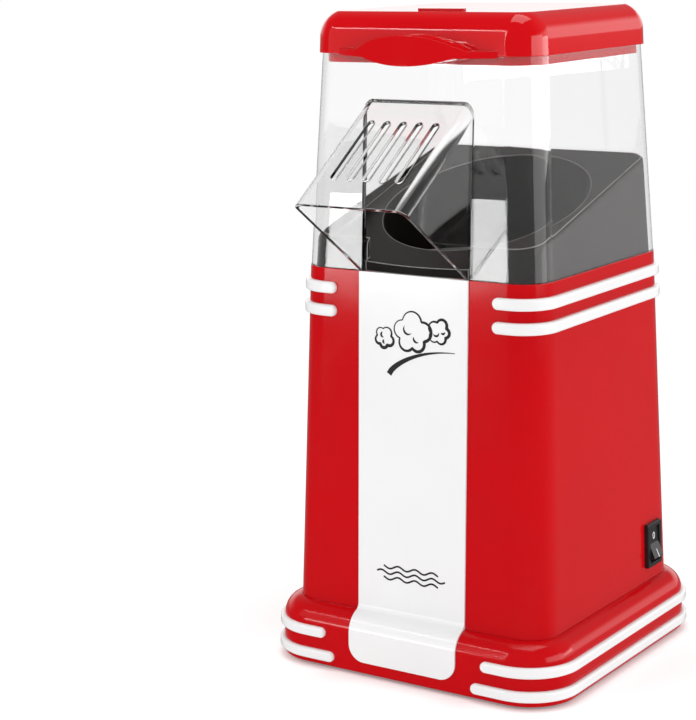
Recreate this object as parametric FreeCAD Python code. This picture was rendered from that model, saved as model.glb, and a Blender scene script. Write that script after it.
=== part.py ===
import FreeCAD, Part
import math
import os

from FreeCAD import Vector

# Hot-air popcorn maker: a square tapered tower on a wider base, with a clear upper housing, a clear
# chute hood at the front (-Y) and a lift-off lid. Millimetres, +Z up. The tower's centre line is
# x = 0, y = 0 while the pieces are made; at the end all of them are moved along Y so that the origin
# is the centre of the whole object's footprint, on the surface it stands on.

X_AXIS, Y_AXIS, Z_AXIS = Vector(1, 0, 0), Vector(0, 1, 0), Vector(0, 0, 1)
SIDES = (-1, 1)
CORNERS = [(sx, sy) for sx in SIDES for sy in SIDES]
FAR = 400.0                      # larger than the object, for half spaces
PAST = 40.0                      # how far a cutting block runs on beyond what it opens
FULL_ROUND = 0.45                # share of a thickness: the largest rounding that leaves a flat

# ---- heights of the outside ------------------------------------------------------------------
TOTAL_HEIGHT = 300.0
FOOT_HEIGHT = 1.2
BASE_TOP_Z = 29.0
BODY_TOP_Z = 185.4
HOUSING_TOP_Z = 281.0

# ---- half widths and corner radii of the square tower ----------------------------------------
BODY_HALF_LOW, BODY_HALF_HIGH, BODY_CORNER = 67.0, 61.8, 14.7
BASE_STEP, BASE_DRAFT, BASE_CORNER = 9.0, 0.8, 23.0     # its foot stands this far out of the body
BASE_HALF_LOW = BODY_HALF_LOW + BASE_STEP
BASE_HALF_HIGH = BASE_HALF_LOW - BASE_DRAFT
HOUSING_HALF_HIGH = 56.4
HOUSING_SETBACK = 0.3            # the clear wall stands this far behind the red one
HOUSING_CORNER = BODY_CORNER - HOUSING_SETBACK
LID_OVERHANG, LID_DRAFT, LID_CORNER = 0.8, 0.7, 13.6
BASE_SHOULDER = 9.5
BASE_RIM_ROUND = 1.5
LID_EDGE = 12.5

# ---- walls -----------------------------------------------------------------------------------
BASE_WALL = 2.6
BODY_WALL = 2.4
HOUSING_WALL = 2.0
LID_WALL = 2.2
INSERT_WALL = 2.0
HOOD_WALL = 1.6

# ---- clearances ------------------------------------------------------------------------------
LIFT_GAP = 0.4                   # round a piece that lifts off
SEAT_DEPTH = 1.5                 # the body's rim sits this deep in the base
PLUG_GAP = 0.15                  # round a piece that is pushed in and stays
RUNNING_GAP = 0.03               # radial, between a shaft and its bush
PIN_GAP = 0.06                   # radial, round the rocker's pins
PIN_END_GAP = 0.1

# ---- front panel and trims -------------------------------------------------------------------
PANEL_HALF, PANEL_PROUD, PANEL_SUNK = 28.2, 0.7, 0.9
PANEL_LOW_Z, PANEL_LOW_ROUND, PANEL_STEP_ROUND = 7.0, 8.0, 4.0
TRIM_EDGE = 1.3                  # rounding of a trim's outer edges
BODY_TRIM_HEIGHT, BODY_TRIM_PROUD = 5.3, 2.2
BODY_TRIM_END = 40.5             # the ends' |x| on the front face; the base's two differ
BODY_TRIM_LOW_Z = (163.6, 174.1)
BASE_TRIM_HEIGHT, BASE_TRIM_PROUD = 4.9, 2.1
BASE_TRIM_LOW_Z = (3.9, 14.7)
BASE_TRIM_END = (36.6, 41.4)

# ---- hood over the exit ----------------------------------------------------------------------
HOOD_HALF = 28.2
HOOD_TOP_Z, HOOD_TIP_Z, HOOD_REACH = 260.0, 221.7, 51.6
HOOD_SLOTS, HOOD_SLOT_PITCH, HOOD_SLOT_WIDTH = 5, 8.2, 3.3
HOOD_SLOT_START, HOOD_SLOT_END = 0.18, 0.75      # shares of the sloping panel's length
HOOD_EDGE = 5.0                  # rounding between the sloping panel and the cheeks

# ---- lid's finger tab and rib ----------------------------------------------------------------
TAB_HALF, TAB_REACH = 40.0, 12.0
TAB_LEDGE_LOW, TAB_LEDGE_HIGH = 280.2, 283.2
TAB_ARCH_HALF, TAB_ARCH_TOP = 28.0, 290.0
TAB_LIP_HALF, TAB_LIP_LOW = 23.0, 276.8
LID_SKIRT_DEPTH, LID_SKIRT_WALL = 4.0, 1.6
LID_RIB_LENGTH, LID_RIB_WIDTH, LID_RIB_HEIGHT, LID_RIB_BACK = 24.0, 3.2, 0.9, 8.0

# ---- chute insert ----------------------------------------------------------------------------
FLOOR_LIP_Z, FLOOR_BACK_Z = 189.3, 230.5         # the chute floor at the front lip and at the back
RIM_FRONT_Z, RIM_BACK_Z = 200.0, 232.5           # the side walls' top edge
INSERT_BACK_ROUND = 5.0
TONGUE_HALF, TONGUE_BOW = 26.1, 200.0
FUNNEL_TOP_R = 48.5

# ---- popping chamber, deck and heat shield ---------------------------------------------------
DECK_LOW_Z, DECK_THICK = 179.0, 2.0
CHAMBER_R, CHAMBER_WALL, CHAMBER_DEPTH = 45.0, 1.0, 70.0
CHAMBER_FLANGE_R, CHAMBER_FLOOR_ROUND = 54.0, 5.0
LOUVRES, LOUVRE_WIDTH, LOUVRE_HEIGHT, LOUVRE_LIFT, LOUVRE_TURN = 20, 1.8, 10.0, 8.0, 40.0
LOUVRE_REACH = 6.0               # half length of the cut that makes a louvre
GASKET_THICK = 0.8
DECK_HOLE_GAP = 1.0
SHIELD_R, SHIELD_WALL = 52.0, 0.6

# ---- air duct, fan and heater ----------------------------------------------------------------
DUCT_R, DUCT_WALL, DUCT_LOW_Z, DUCT_TOP_Z = 52.0, 2.0, 60.0, 100.0
DUCT_FLANGE_R, DUCT_FLANGE_THICK = 57.0, 3.0
DUCT_LUG_R, DUCT_LUG_OFFSET = 5.0, 45.0
FAN_TIP_GAP, FAN_HUB_R, FAN_HUB_HEIGHT, FAN_LOW_Z = 2.5, 10.0, 15.0, 64.5
FAN_R = DUCT_R - DUCT_WALL - FAN_TIP_GAP
FAN_BLADES, FAN_CHORD, FAN_BLADE_THICK, FAN_PITCH = 7, 20.0, 1.4, 35.0
FAN_HUB_ROUND, FAN_BLADE_ROOT = 2.0, 2.0         # a blade's root is sunk this far in the hub
FORMER_LOW_Z, FORMER_HEIGHT, FORMER_THICK = 84.0, 15.0, 1.2
FORMER_LEDGE = 3.0
COIL_INSET, COIL_PITCH, COIL_TURNS, COIL_WIRE_R = 10.0, 8.0, 4, 1.8
COIL_RADII = [DUCT_R - DUCT_WALL - COIL_INSET - COIL_PITCH * (COIL_TURNS - 1 - i)
              for i in range(COIL_TURNS)]
THERMOSTAT_R, THERMOSTAT_HEIGHT = 8.0, 7.0
THERMOSTAT_BLADE, THERMOSTAT_BLADE_INSET = (2.0, 4.0, 0.8), 2.5
FUSE_R, FUSE_LENGTH, FUSE_LEAD_R, FUSE_LEAD = 2.0, 11.0, 0.5, 5.0
FUSE_X = 26.0

# ---- motor -----------------------------------------------------------------------------------
MOUNT_THICK, MOUNT_HUB_R, MOUNT_RING_WIDTH, MOUNT_SPOKE = 1.5, 20.0, 7.0, 10.0
MOTOR_R, MOTOR_WALL, MOTOR_LENGTH = 17.9, 1.0, 42.0
MOTOR_BOSS_R, MOTOR_BOSS_HEIGHT = 5.0, 2.5
SHAFT_R, SHAFT_ABOVE_HUB = 1.5, 1.0
BUSH_R, BUSH_LENGTH, BUSH_SEAT_WALL = 3.5, 4.0, 1.5
END_CAP_THICK = 3.5
MAGNET_THICK, MAGNET_LENGTH, MAGNET_SPAN, MAGNET_GAP = 3.9, 28.0, 130.0, 0.1
ARMATURE_R, ARMATURE_LENGTH, ARMATURE_POLES = 11.6, 22.0, 3
ARMATURE_SLOT, ARMATURE_YOKE_R = 5.0, 4.5
WINDING_OVERHANG, WINDING_INSET = 2.0, 1.2
BOARD_R, BOARD_THICK, BOARD_GAP, BOARD_HOLE_R = 15.5, 1.6, 2.0, 3.0
BOARD_NUB_R, BOARD_NUB_Y = 1.5, 9.3
DIODES, DIODE_R, DIODE_LENGTH, DIODE_CIRCLE = 4, 1.3, 5.2, 10.5
MOTOR_SCREW_CIRCLE = 8.5

# ---- rocker switch, in the right-hand (+X) wall ----------------------------------------------
SWITCH_Y, SWITCH_Z = 42.5, 46.0
BEZEL_WIDTH, BEZEL_HEIGHT, BEZEL_THICK, BEZEL_ROUND, BEZEL_EDGE = 15.0, 21.4, 2.0, 1.0, 0.6
SWITCH_DEPTH, SWITCH_SIDE, SWITCH_RIM_Y, SWITCH_RIM_Z, SWITCH_END = 16.0, 1.4, 2.6, 2.1, 0.9
ROCKER_GAP = 0.3
ROCKER_PIVOT_DEPTH = 1.5         # the pivot's depth below the wall's face
ROCKER_VALLEY = 1.4              # the face's lowest line stands this far out
ROCKER_END_ANGLE, ROCKER_BACK = 60.0, 3.5       # its body reaches this far behind the pivot
ROCKER_THROW = 24.0              # degrees from "0" to "I"
ROCKER_PIN_R, ROCKER_PIN_LENGTH = 1.0, 0.9
BLADE_WIDTH, BLADE_THICK, BLADE_LENGTH, BLADE_OFFSET = 4.8, 0.8, 8.0, 4.5

# ---- cord inlet bush, in the rear (+Y) wall --------------------------------------------------
GLAND_Z, GLAND_BORE_R, GLAND_STEM_R = 45.0, 3.6, 5.6
GLAND_FLANGE_R, GLAND_FLANGE_THICK, GLAND_TAIL, GLAND_COLLAR_R = 8.5, 2.6, 4.0, 6.8

# ---- base: cover, shelf, feet and bosses -----------------------------------------------------
COVER_THICK, COVER_LOW_Z = 2.5, 2.6
COVER_SLOTS, COVER_SLOT_LENGTH, COVER_SLOT_WIDTH, COVER_SLOT_PITCH = 8, 34.0, 3.2, 8.0
COVER_SLOT_X = 21.0
SHELF_THICK, SHELF_HOLE_R = 2.5, 50.0
COVER_SCREW_INSET, BODY_SCREW_INSET, INSERT_SCREW_INSET = 16.0, 15.0, 11.3    # from the outside
COVER_SCREW_OFFSET = BASE_HALF_LOW - COVER_SCREW_INSET
BODY_SCREW_OFFSET = BODY_HALF_LOW - BODY_SCREW_INSET
FOOT_OFFSET, FOOT_R, FOOT_STEM_R, FOOT_EDGE = 47.0, 9.0, 3.0, 0.6
BOSS_R, GUSSET_HEIGHT, GUSSET_SIZE = 4.2, 14.0, 15.0
POST_R = 3.8
INSERT_SCREW_OFFSET = BODY_HALF_HIGH - INSERT_SCREW_INSET

# ---- screws ----------------------------------------------------------------------------------
SCREW_R, SCREW_HEAD_R, SCREW_HEAD_HEIGHT = 1.4, 2.8, 1.9
CROSS_REACH, CROSS_HALF, CROSS_DEPTH = 1.7, 0.35, 1.1    # the cross slot in a screw's head
SCREW_HOLE_GAP = 0.3             # round the shank where it passes through
SCREW_LENGTH = 10.0
DUCT_SCREW_LENGTH = 14.0
PLATE_SCREW_LENGTH = 4.0
PLATE_SCREW_CIRCLE = 54.5

# ---- leads -----------------------------------------------------------------------------------
LEAD_R, LEAD_BEND = 1.1, 6.0
LEAD_SPREAD, LEAD_RUN, LEAD_ANGLE = 1.6, 12.0, math.radians(35)


# =============================================================================================
# Shape helpers
# =============================================================================================
def box(x0, x1, y0, y1, z0, z1):
    return Part.makeBox(x1 - x0, y1 - y0, z1 - z0, Vector(x0, y0, z0))


def rod(radius, z0, z1, x=0.0, y=0.0):
    return Part.makeCylinder(radius, z1 - z0, Vector(x, y, z0))


def rod_along(axis, radius, start, length):
    return Part.makeCylinder(radius, length, start, axis)


def ring(outer, inner, z0, z1):
    return rod(outer, z0, z1).cut(rod(inner, z0 - 1, z1 + 1))


def fuse(shapes):
    shapes = list(shapes)
    whole = shapes[0].multiFuse(shapes[1:]) if len(shapes) > 1 else shapes[0]
    return whole.removeSplitter()


def face_of(points):
    return Part.Face(Part.makePolygon([*points, points[0]]))


def prism_x(points_yz, half):
    """Solid with an outline in the Y-Z plane, from x = -half to x = +half."""
    face = face_of([Vector(-half, y, z) for y, z in points_yz])
    return face.extrude(Vector(2 * half, 0, 0))


def turned(shape, degrees, centre=Vector(0, 0, 0), axis=Z_AXIS):
    copy = shape.copy()
    copy.rotate(centre, axis, degrees)
    return copy


def above_line(y0, z0, y1, z1):
    """Everything above the plane through two points of the Y-Z plane, as a large solid."""
    slope = (z1 - z0) / (y1 - y0)
    low, high = z0 + slope * (-FAR - y0), z0 + slope * (FAR - y0)
    return prism_x([(-FAR, low), (FAR, high), (FAR, 2 * FAR), (-FAR, 2 * FAR)], FAR)


class Taper:
    """A square tower wall: half width straight between two heights, one corner radius."""

    def __init__(self, low_z, low_half, high_z, high_half, corner):
        self.low_z, self.low_half, self.corner = low_z, low_half, corner
        self.slope = (high_half - low_half) / (high_z - low_z)

    def half(self, z):
        return self.low_half + self.slope * (z - self.low_z)

    def outside_by(self, point):
        """How far a point stands out of the wall, measured level."""
        half = self.half(point.z)
        centre = half - self.corner
        x, y = abs(point.x), abs(point.y)
        if x > centre and y > centre:
            return math.hypot(x - centre, y - centre) - self.corner
        return max(x, y) - half

    def lean(self):
        """Degrees by which the wall leans in."""
        return math.degrees(math.atan(-self.slope))

    def solid(self, z0, z1, inset=0.0):
        h0, h1 = self.half(z0) - inset, self.half(z1) - inset
        block = Part.makeWedge(-h0, z0, -h0, -h1, -h1, h0, z1, h0, h1, h1)
        block.rotate(Vector(0, 0, 0), X_AXIS, 90)
        slanted = [e for e in block.Edges if e.BoundBox.ZLength > (z1 - z0) / 2]
        return block.makeFillet(self.corner - inset, slanted)

    def shell(self, z0, z1, wall):
        return self.solid(z0, z1).cut(self.solid(z0 - 1, z1 + 1, wall))


def edges_at(shape, z, reach=0.01):
    """The edges that lie level at height z."""
    return [e for e in shape.Edges
            if abs(e.BoundBox.ZMin - z) < reach and abs(e.BoundBox.ZMax - z) < reach]


BASE = Taper(FOOT_HEIGHT, BASE_HALF_LOW, BASE_TOP_Z, BASE_HALF_HIGH, BASE_CORNER)
BODY_LOW_Z = BASE_TOP_Z - SEAT_DEPTH
BODY = Taper(BASE_TOP_Z, BODY_HALF_LOW, BODY_TOP_Z, BODY_HALF_HIGH, BODY_CORNER)
HOUSING = Taper(BODY_TOP_Z, BODY_HALF_HIGH - HOUSING_SETBACK, HOUSING_TOP_Z, HOUSING_HALF_HIGH,
                HOUSING_CORNER)
LID = Taper(HOUSING_TOP_Z, HOUSING_HALF_HIGH + LID_OVERHANG, TOTAL_HEIGHT,
            HOUSING_HALF_HIGH + LID_OVERHANG - LID_DRAFT, LID_CORNER)

DECK_TOP_Z = DECK_LOW_Z + DECK_THICK
FLANGE_LOW_Z = DECK_TOP_Z + GASKET_THICK
FLANGE_TOP_Z = FLANGE_LOW_Z + CHAMBER_WALL
CHAMBER_FLOOR_Z = FLANGE_TOP_Z - CHAMBER_DEPTH
COVER_TOP_Z = COVER_LOW_Z + COVER_THICK
SHELF_TOP_Z = BODY_LOW_Z
SHELF_LOW_Z = SHELF_TOP_Z - SHELF_THICK
MOUNT_LOW_Z = DUCT_LOW_Z - MOUNT_THICK
MOTOR_LOW_Z = MOUNT_LOW_Z - MOTOR_LENGTH
INSERT_INSET = HOUSING_WALL + LIFT_GAP
NODES = {}


def screw(x, y, head_z, length, up=True):
    """Pan-head screw along Z: its head's seat is at head_z and its shank points up or down."""
    head = rod(SCREW_HEAD_R, -SCREW_HEAD_HEIGHT, 0)
    head = head.makeFillet(SCREW_HEAD_HEIGHT * FULL_ROUND, edges_at(head, -SCREW_HEAD_HEIGHT))
    slot = box(-CROSS_REACH, CROSS_REACH, -CROSS_HALF, CROSS_HALF,
               -SCREW_HEAD_HEIGHT - 1, -SCREW_HEAD_HEIGHT + CROSS_DEPTH)
    head = head.cut(slot).cut(turned(slot, 90))
    whole = fuse([head, rod(SCREW_R, -0.01, length)])
    if not up:
        whole.rotate(Vector(0, 0, 0), X_AXIS, 180)
    whole.translate(Vector(x, y, head_z))
    return whole


def screw_hole(x, y, z0, z1):
    return rod(SCREW_R + SCREW_HOLE_GAP, z0, z1, x, y)


def pilot_hole(x, y, z0, z1):
    return rod(SCREW_R, z0, z1, x, y)


def on_wall(shape, taper, across, z, quarter_turns):
    """Moves a shape made at the origin, facing +X, onto a leaning wall of the tower.

    across is the place along the wall, and quarter_turns is 0 for the right wall, 1 for the rear.
    """
    placed = shape.copy()
    placed.rotate(Vector(0, 0, 0), Y_AXIS, -taper.lean())
    placed.translate(Vector(taper.half(z), across, z))
    placed.rotate(Vector(0, 0, 0), Z_AXIS, 90 * quarter_turns)
    return placed


def lead(points):
    """Insulated lead: straight runs with an arc at each bend."""
    points = [Vector(*p) for p in points]
    edges, start = [], points[0]
    for before, bend, after in zip(points, points[1:], points[2:]):
        u, v = (before - bend).normalize(), (after - bend).normalize()
        half_angle = u.getAngle(v) / 2
        reach = LEAD_BEND / math.tan(half_angle)
        first, last = bend + u * reach, bend + v * reach
        centre = bend + (u + v).normalize() * (LEAD_BEND / math.sin(half_angle))
        middle = centre + (bend - centre).normalize() * LEAD_BEND
        edges.append(Part.LineSegment(start, first).toShape())
        edges.append(Part.Arc(first, middle, last).toShape())
        start = last
    edges.append(Part.LineSegment(start, points[-1]).toShape())
    path = Part.Wire(edges)
    section = Part.Wire(Part.makeCircle(LEAD_R, points[0], points[1] - points[0]))
    return path.makePipeShell([section], True, False)


# =============================================================================================
# Casing
# =============================================================================================
def make_front_panel():
    """White strip down the front: it turns over the base's shoulder and ends in a rounded tongue."""
    def outline(offset):
        base_low, base_high = BASE.half(PANEL_LOW_Z) + offset, BASE.half(BASE_TOP_Z) + offset
        foot = prism_x([(0, PANEL_LOW_Z), (-base_low, PANEL_LOW_Z), (-base_high, BASE_TOP_Z + offset),
                        (0, BASE_TOP_Z + offset)], PANEL_HALF)
        shoulder = [e for e in edges_at(foot, BASE_TOP_Z + offset)
                    if e.BoundBox.XLength > PANEL_HALF and e.BoundBox.YMax < -1]
        foot = foot.makeFillet(BASE_SHOULDER + offset, shoulder)
        tower = prism_x([(0, PANEL_LOW_Z), (-BODY.half(PANEL_LOW_Z) - offset, PANEL_LOW_Z),
                         (-BODY.half(BODY_TOP_Z) - offset, BODY_TOP_Z), (0, BODY_TOP_Z)], PANEL_HALF)
        whole = fuse([foot, tower])
        body_low = BODY.half(BASE_TOP_Z) + offset
        step = [e for e in whole.Edges
                if e.BoundBox.XLength > PANEL_HALF and abs(e.BoundBox.YMin + body_low) < 0.2
                and abs(e.BoundBox.ZMin - BASE_TOP_Z - offset) < 2.0]
        return whole.makeFillet(PANEL_STEP_ROUND - offset, step)

    strip = outline(PANEL_PROUD).cut(outline(-PANEL_SUNK))
    tongue = box(-PANEL_HALF, PANEL_HALF, -FAR, 0, PANEL_LOW_Z, BODY_TOP_Z)
    low_corners = [e for e in tongue.Edges
                   if e.BoundBox.YLength > 1 and e.BoundBox.ZMax < PANEL_LOW_Z + 1]
    return strip.common(tongue.makeFillet(PANEL_LOW_ROUND, low_corners))


def make_base_shell(panel):
    """Red foot moulding with a rounded shoulder, an inner shelf and bosses for the cover."""
    def block(inset, z0):
        solid = BASE.solid(z0, BASE_TOP_Z - inset, inset)
        return solid.makeFillet(BASE_SHOULDER - inset, edges_at(solid, BASE_TOP_Z - inset))

    outer = block(0.0, FOOT_HEIGHT)
    outer = outer.makeFillet(BASE_RIM_ROUND, edges_at(outer, FOOT_HEIGHT))
    shell = outer.cut(block(BASE_WALL, FOOT_HEIGHT - 1))
    shelf = BODY.solid(SHELF_LOW_Z, SHELF_TOP_Z, -BODY_WALL)
    shell = fuse([shell, shelf])
    shell = shell.cut(BODY.solid(SHELF_TOP_Z, BASE_TOP_Z + 1, -PLUG_GAP))
    shell = shell.cut(rod(SHELF_HOLE_R, SHELF_LOW_Z - 1, SHELF_TOP_Z + 1))
    bosses = [rod(BOSS_R, COVER_TOP_Z, SHELF_TOP_Z,
                  sx * COVER_SCREW_OFFSET, sy * COVER_SCREW_OFFSET) for sx, sy in CORNERS]
    bosses = [b.common(outer) for b in bosses]
    shell = fuse([shell, *bosses])
    for sx, sy in CORNERS:
        x, y = sx * COVER_SCREW_OFFSET, sy * COVER_SCREW_OFFSET
        shell = shell.cut(pilot_hole(x, y, COVER_TOP_Z - 1, COVER_TOP_Z + SCREW_LENGTH))
        x, y = sx * BODY_SCREW_OFFSET, sy * BODY_SCREW_OFFSET
        shell = shell.cut(screw_hole(x, y, SHELF_LOW_Z - 1, SHELF_TOP_Z + 1))
    return shell.cut(panel)


def make_body_shell(panel, switch_hole, gland_hole):
    """Red tapered tower with the deck that carries the chamber, corner gussets and duct posts."""
    shell = BODY.shell(BODY_LOW_Z, BODY_TOP_Z, BODY_WALL)
    inside = BODY.solid(BODY_LOW_Z, BODY_TOP_Z, BODY_WALL - 0.1)
    deck = inside.common(box(-FAR, FAR, -FAR, FAR, DECK_LOW_Z, DECK_TOP_Z))
    parts = [shell, deck]
    for sx, sy in CORNERS:
        post = rod(POST_R, DUCT_TOP_Z, DECK_LOW_Z + DECK_THICK / 4, sx * DUCT_LUG_OFFSET,
                   sy * DUCT_LUG_OFFSET)
        gusset = box(0, GUSSET_SIZE, 0, GUSSET_SIZE, BODY_LOW_Z, BODY_LOW_Z + GUSSET_HEIGHT)
        low = BODY_SCREW_OFFSET - BOSS_R
        gusset.translate(Vector(low, low, 0))
        gusset = turned(gusset, math.degrees(math.atan2(sy, sx)) - 45)
        parts += [post, gusset.common(inside)]
    body = fuse(parts)
    body = body.cut(rod(CHAMBER_R + CHAMBER_WALL + DECK_HOLE_GAP, DECK_LOW_Z - 1, DECK_TOP_Z + 1))
    for sx, sy in CORNERS:
        x, y = sx * DUCT_LUG_OFFSET, sy * DUCT_LUG_OFFSET
        body = body.cut(pilot_hole(x, y, DUCT_TOP_Z - 1, DUCT_TOP_Z + DUCT_SCREW_LENGTH))
        x, y = sx * BODY_SCREW_OFFSET, sy * BODY_SCREW_OFFSET
        body = body.cut(pilot_hole(x, y, BODY_LOW_Z - 1, BODY_LOW_Z + SCREW_LENGTH))
        x, y = sx * INSERT_SCREW_OFFSET, sy * INSERT_SCREW_OFFSET
        body = body.cut(screw_hole(x, y, DECK_LOW_Z - 1, DECK_TOP_Z + 1))
    return body.cut(panel).cut(switch_hole).cut(gland_hole)


def make_trim(taper, low_z, height, proud, end_x):
    """White rib round the tower that stops short of the panel, with half-round ends."""
    top_z, middle_z = low_z + height, low_z + height / 2
    band = taper.solid(low_z, top_z, -proud).cut(taper.solid(low_z - 1, top_z + 1))
    turn_x = end_x + height / 2
    gap = box(-turn_x, turn_x, -FAR, 0, low_z - 1, top_z + 1)
    tips = [rod_along(Y_AXIS, height / 2, Vector(sx * turn_x, -FAR, middle_z), FAR) for sx in SIDES]
    rib = fuse([band.cut(gap), *[band.common(tip) for tip in tips]])
    outer = [e for e in rib.Edges
             if all(abs(taper.outside_by(p) - proud) < 0.01 for p in e.discretize(3))]
    rim = [e for e in outer if e.BoundBox.ZLength < 0.01 or e.BoundBox.XLength > height / 4]
    return rib.makeFillet(TRIM_EDGE, rim)


def make_bottom_cover():
    """Plate that closes the base from below, with air intake slots."""
    plate = BASE.solid(COVER_LOW_Z, COVER_TOP_Z, BASE_WALL + PLUG_GAP)
    for row in range(COVER_SLOTS):
        y = (row - (COVER_SLOTS - 1) / 2) * COVER_SLOT_PITCH
        for sx in SIDES:
            straight = (COVER_SLOT_LENGTH - COVER_SLOT_WIDTH) / 2
            x = sx * COVER_SLOT_X
            cut = box(x - straight, x + straight, y - COVER_SLOT_WIDTH / 2, y + COVER_SLOT_WIDTH / 2,
                      COVER_LOW_Z - 1, COVER_TOP_Z + 1)
            ends = [rod(COVER_SLOT_WIDTH / 2, COVER_LOW_Z - 1, COVER_TOP_Z + 1, x + s * straight, y)
                    for s in SIDES]
            plate = plate.cut(fuse([cut, *ends]))
    for sx, sy in CORNERS:
        x, y = sx * COVER_SCREW_OFFSET, sy * COVER_SCREW_OFFSET
        plate = plate.cut(screw_hole(x, y, COVER_LOW_Z - 1, COVER_TOP_Z + 1))
        plate = plate.cut(rod(FOOT_STEM_R, COVER_LOW_Z - 1, COVER_TOP_Z + 1,
                              sx * FOOT_OFFSET, sy * FOOT_OFFSET))
    return plate


def make_feet():
    feet = []
    for sx, sy in CORNERS:
        x, y = sx * FOOT_OFFSET, sy * FOOT_OFFSET
        pad = rod(FOOT_R, 0, COVER_LOW_Z, x, y)
        pad = pad.makeFillet(FOOT_EDGE, edges_at(pad, 0))
        feet.append(fuse([pad, rod(FOOT_STEM_R, COVER_LOW_Z - 0.1, COVER_TOP_Z + 1, x, y)]))
    return Part.makeCompound(feet)


# =============================================================================================
# Clear top and lid
# =============================================================================================
def hood_slope():
    """Ends of the sloping panel's outer face, in the Y-Z plane: at the wall and at the tip."""
    tip_y = -(BODY.half(BODY_TOP_Z) + HOOD_REACH)
    return (-HOUSING.half(HOOD_TOP_Z), HOOD_TOP_Z), (tip_y, HOOD_TIP_Z)


def hood_block(inset=0.0, past=0.0):
    """The hood's triangle in the Y-Z plane, from the wall's inner face, with rounded long edges.

    inset brings the sloping face and the cheeks in; past runs the block on beyond its open sides.
    """
    (wall_y, wall_z), (tip_y, tip_z) = hood_slope()
    slope = (wall_z - tip_z) / (wall_y - tip_y)
    drop = inset * math.hypot(1, slope)
    back_y = wall_y + HOUSING_WALL / (1 + HOUSING.slope * slope) + past

    def on_slope(y):
        return y, wall_z + slope * (y - wall_y) - drop

    low_y = -HOUSING.half(BODY_TOP_Z)
    low = [(low_y, BODY_TOP_Z), (low_y + HOUSING_WALL, BODY_TOP_Z)]
    if past:
        low = [(tip_y - past, -FAR), (back_y, -FAR)]
    points = [on_slope(back_y), on_slope(tip_y - past), *low]
    block = prism_x(points, HOOD_HALF - inset)
    long_edges = [e for e in block.Edges if e.BoundBox.XLength < 0.01
                  and all(abs(on_slope(v.Y)[1] - v.Z) < 0.01 for v in e.Vertexes)]
    return block.makeFillet(HOOD_EDGE - inset, long_edges)


def make_clear_housing():
    """Clear square tube with the exit opening cut out of its front wall."""
    wall = HOUSING.shell(BODY_TOP_Z, HOUSING_TOP_Z, HOUSING_WALL)
    return wall.cut(hood_block(past=PAST))


def make_chute_hood():
    """Clear wedge over the exit: a slotted sloping panel between two triangular cheeks."""
    (wall_y, wall_z), (tip_y, tip_z) = hood_slope()
    slope = (wall_z - tip_z) / (wall_y - tip_y)
    hood = hood_block().cut(hood_block(HOOD_WALL, PAST))
    length = math.hypot(wall_y - tip_y, wall_z - tip_z)
    start, end = HOOD_SLOT_START * length, HOOD_SLOT_END * length
    radius = HOOD_SLOT_WIDTH / 2
    for index in range(HOOD_SLOTS):
        x = (index - (HOOD_SLOTS - 1) / 2) * HOOD_SLOT_PITCH
        slot = fuse([box(x - radius, x + radius, -end + radius, -start - radius, -5, 5),
                     rod(radius, -5, 5, x, -start - radius), rod(radius, -5, 5, x, -end + radius)])
        slot.rotate(Vector(0, 0, 0), X_AXIS, math.degrees(math.atan(slope)))
        slot.translate(Vector(0, wall_y, wall_z))
        hood = hood.cut(slot)
    return hood


def make_lid():
    """Red cap: rounded square dome, skirt inside the clear rim, finger tab and a small rib."""
    def dome(inset):
        solid = LID.solid(HOUSING_TOP_Z, TOTAL_HEIGHT - inset, inset)
        return solid.makeFillet(LID_EDGE - inset, edges_at(solid, TOTAL_HEIGHT - inset))

    skirt_half = HOUSING.half(HOUSING_TOP_Z) - HOUSING_WALL - LIFT_GAP
    skirt_corner = HOUSING_CORNER - HOUSING_WALL - LIFT_GAP
    skirt = Taper(HOUSING_TOP_Z, skirt_half, TOTAL_HEIGHT, skirt_half, skirt_corner)
    skirt_low = HOUSING_TOP_Z - LID_SKIRT_DEPTH
    outer = dome(0.0)
    rib_y = -(LID.half(TOTAL_HEIGHT) - LID_EDGE - LID_RIB_BACK)
    rib = box(-LID_RIB_LENGTH / 2, LID_RIB_LENGTH / 2, rib_y - LID_RIB_WIDTH / 2,
              rib_y + LID_RIB_WIDTH / 2, TOTAL_HEIGHT - 1, TOTAL_HEIGHT + LID_RIB_HEIGHT)
    upright = [e for e in rib.Edges if e.BoundBox.ZLength > 1]
    rib = rib.makeFillet(LID_RIB_WIDTH * FULL_ROUND, upright)
    rib.translate(Vector(0, 0, -LID_RIB_HEIGHT))
    plate_top = outer.cut(box(-FAR, FAR, -FAR, FAR, TOTAL_HEIGHT - LID_RIB_HEIGHT, FAR))
    cap = fuse([plate_top, rib, make_tab(), skirt.solid(skirt_low, TOTAL_HEIGHT - LID_EDGE)])
    hollow = dome(LID_WALL).common(skirt.solid(HOUSING_TOP_Z, TOTAL_HEIGHT, LID_SKIRT_WALL))
    cap = cap.cut(hollow)
    return cap.cut(skirt.solid(skirt_low - 1, HOUSING_TOP_Z + 1, LID_SKIRT_WALL))


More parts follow.
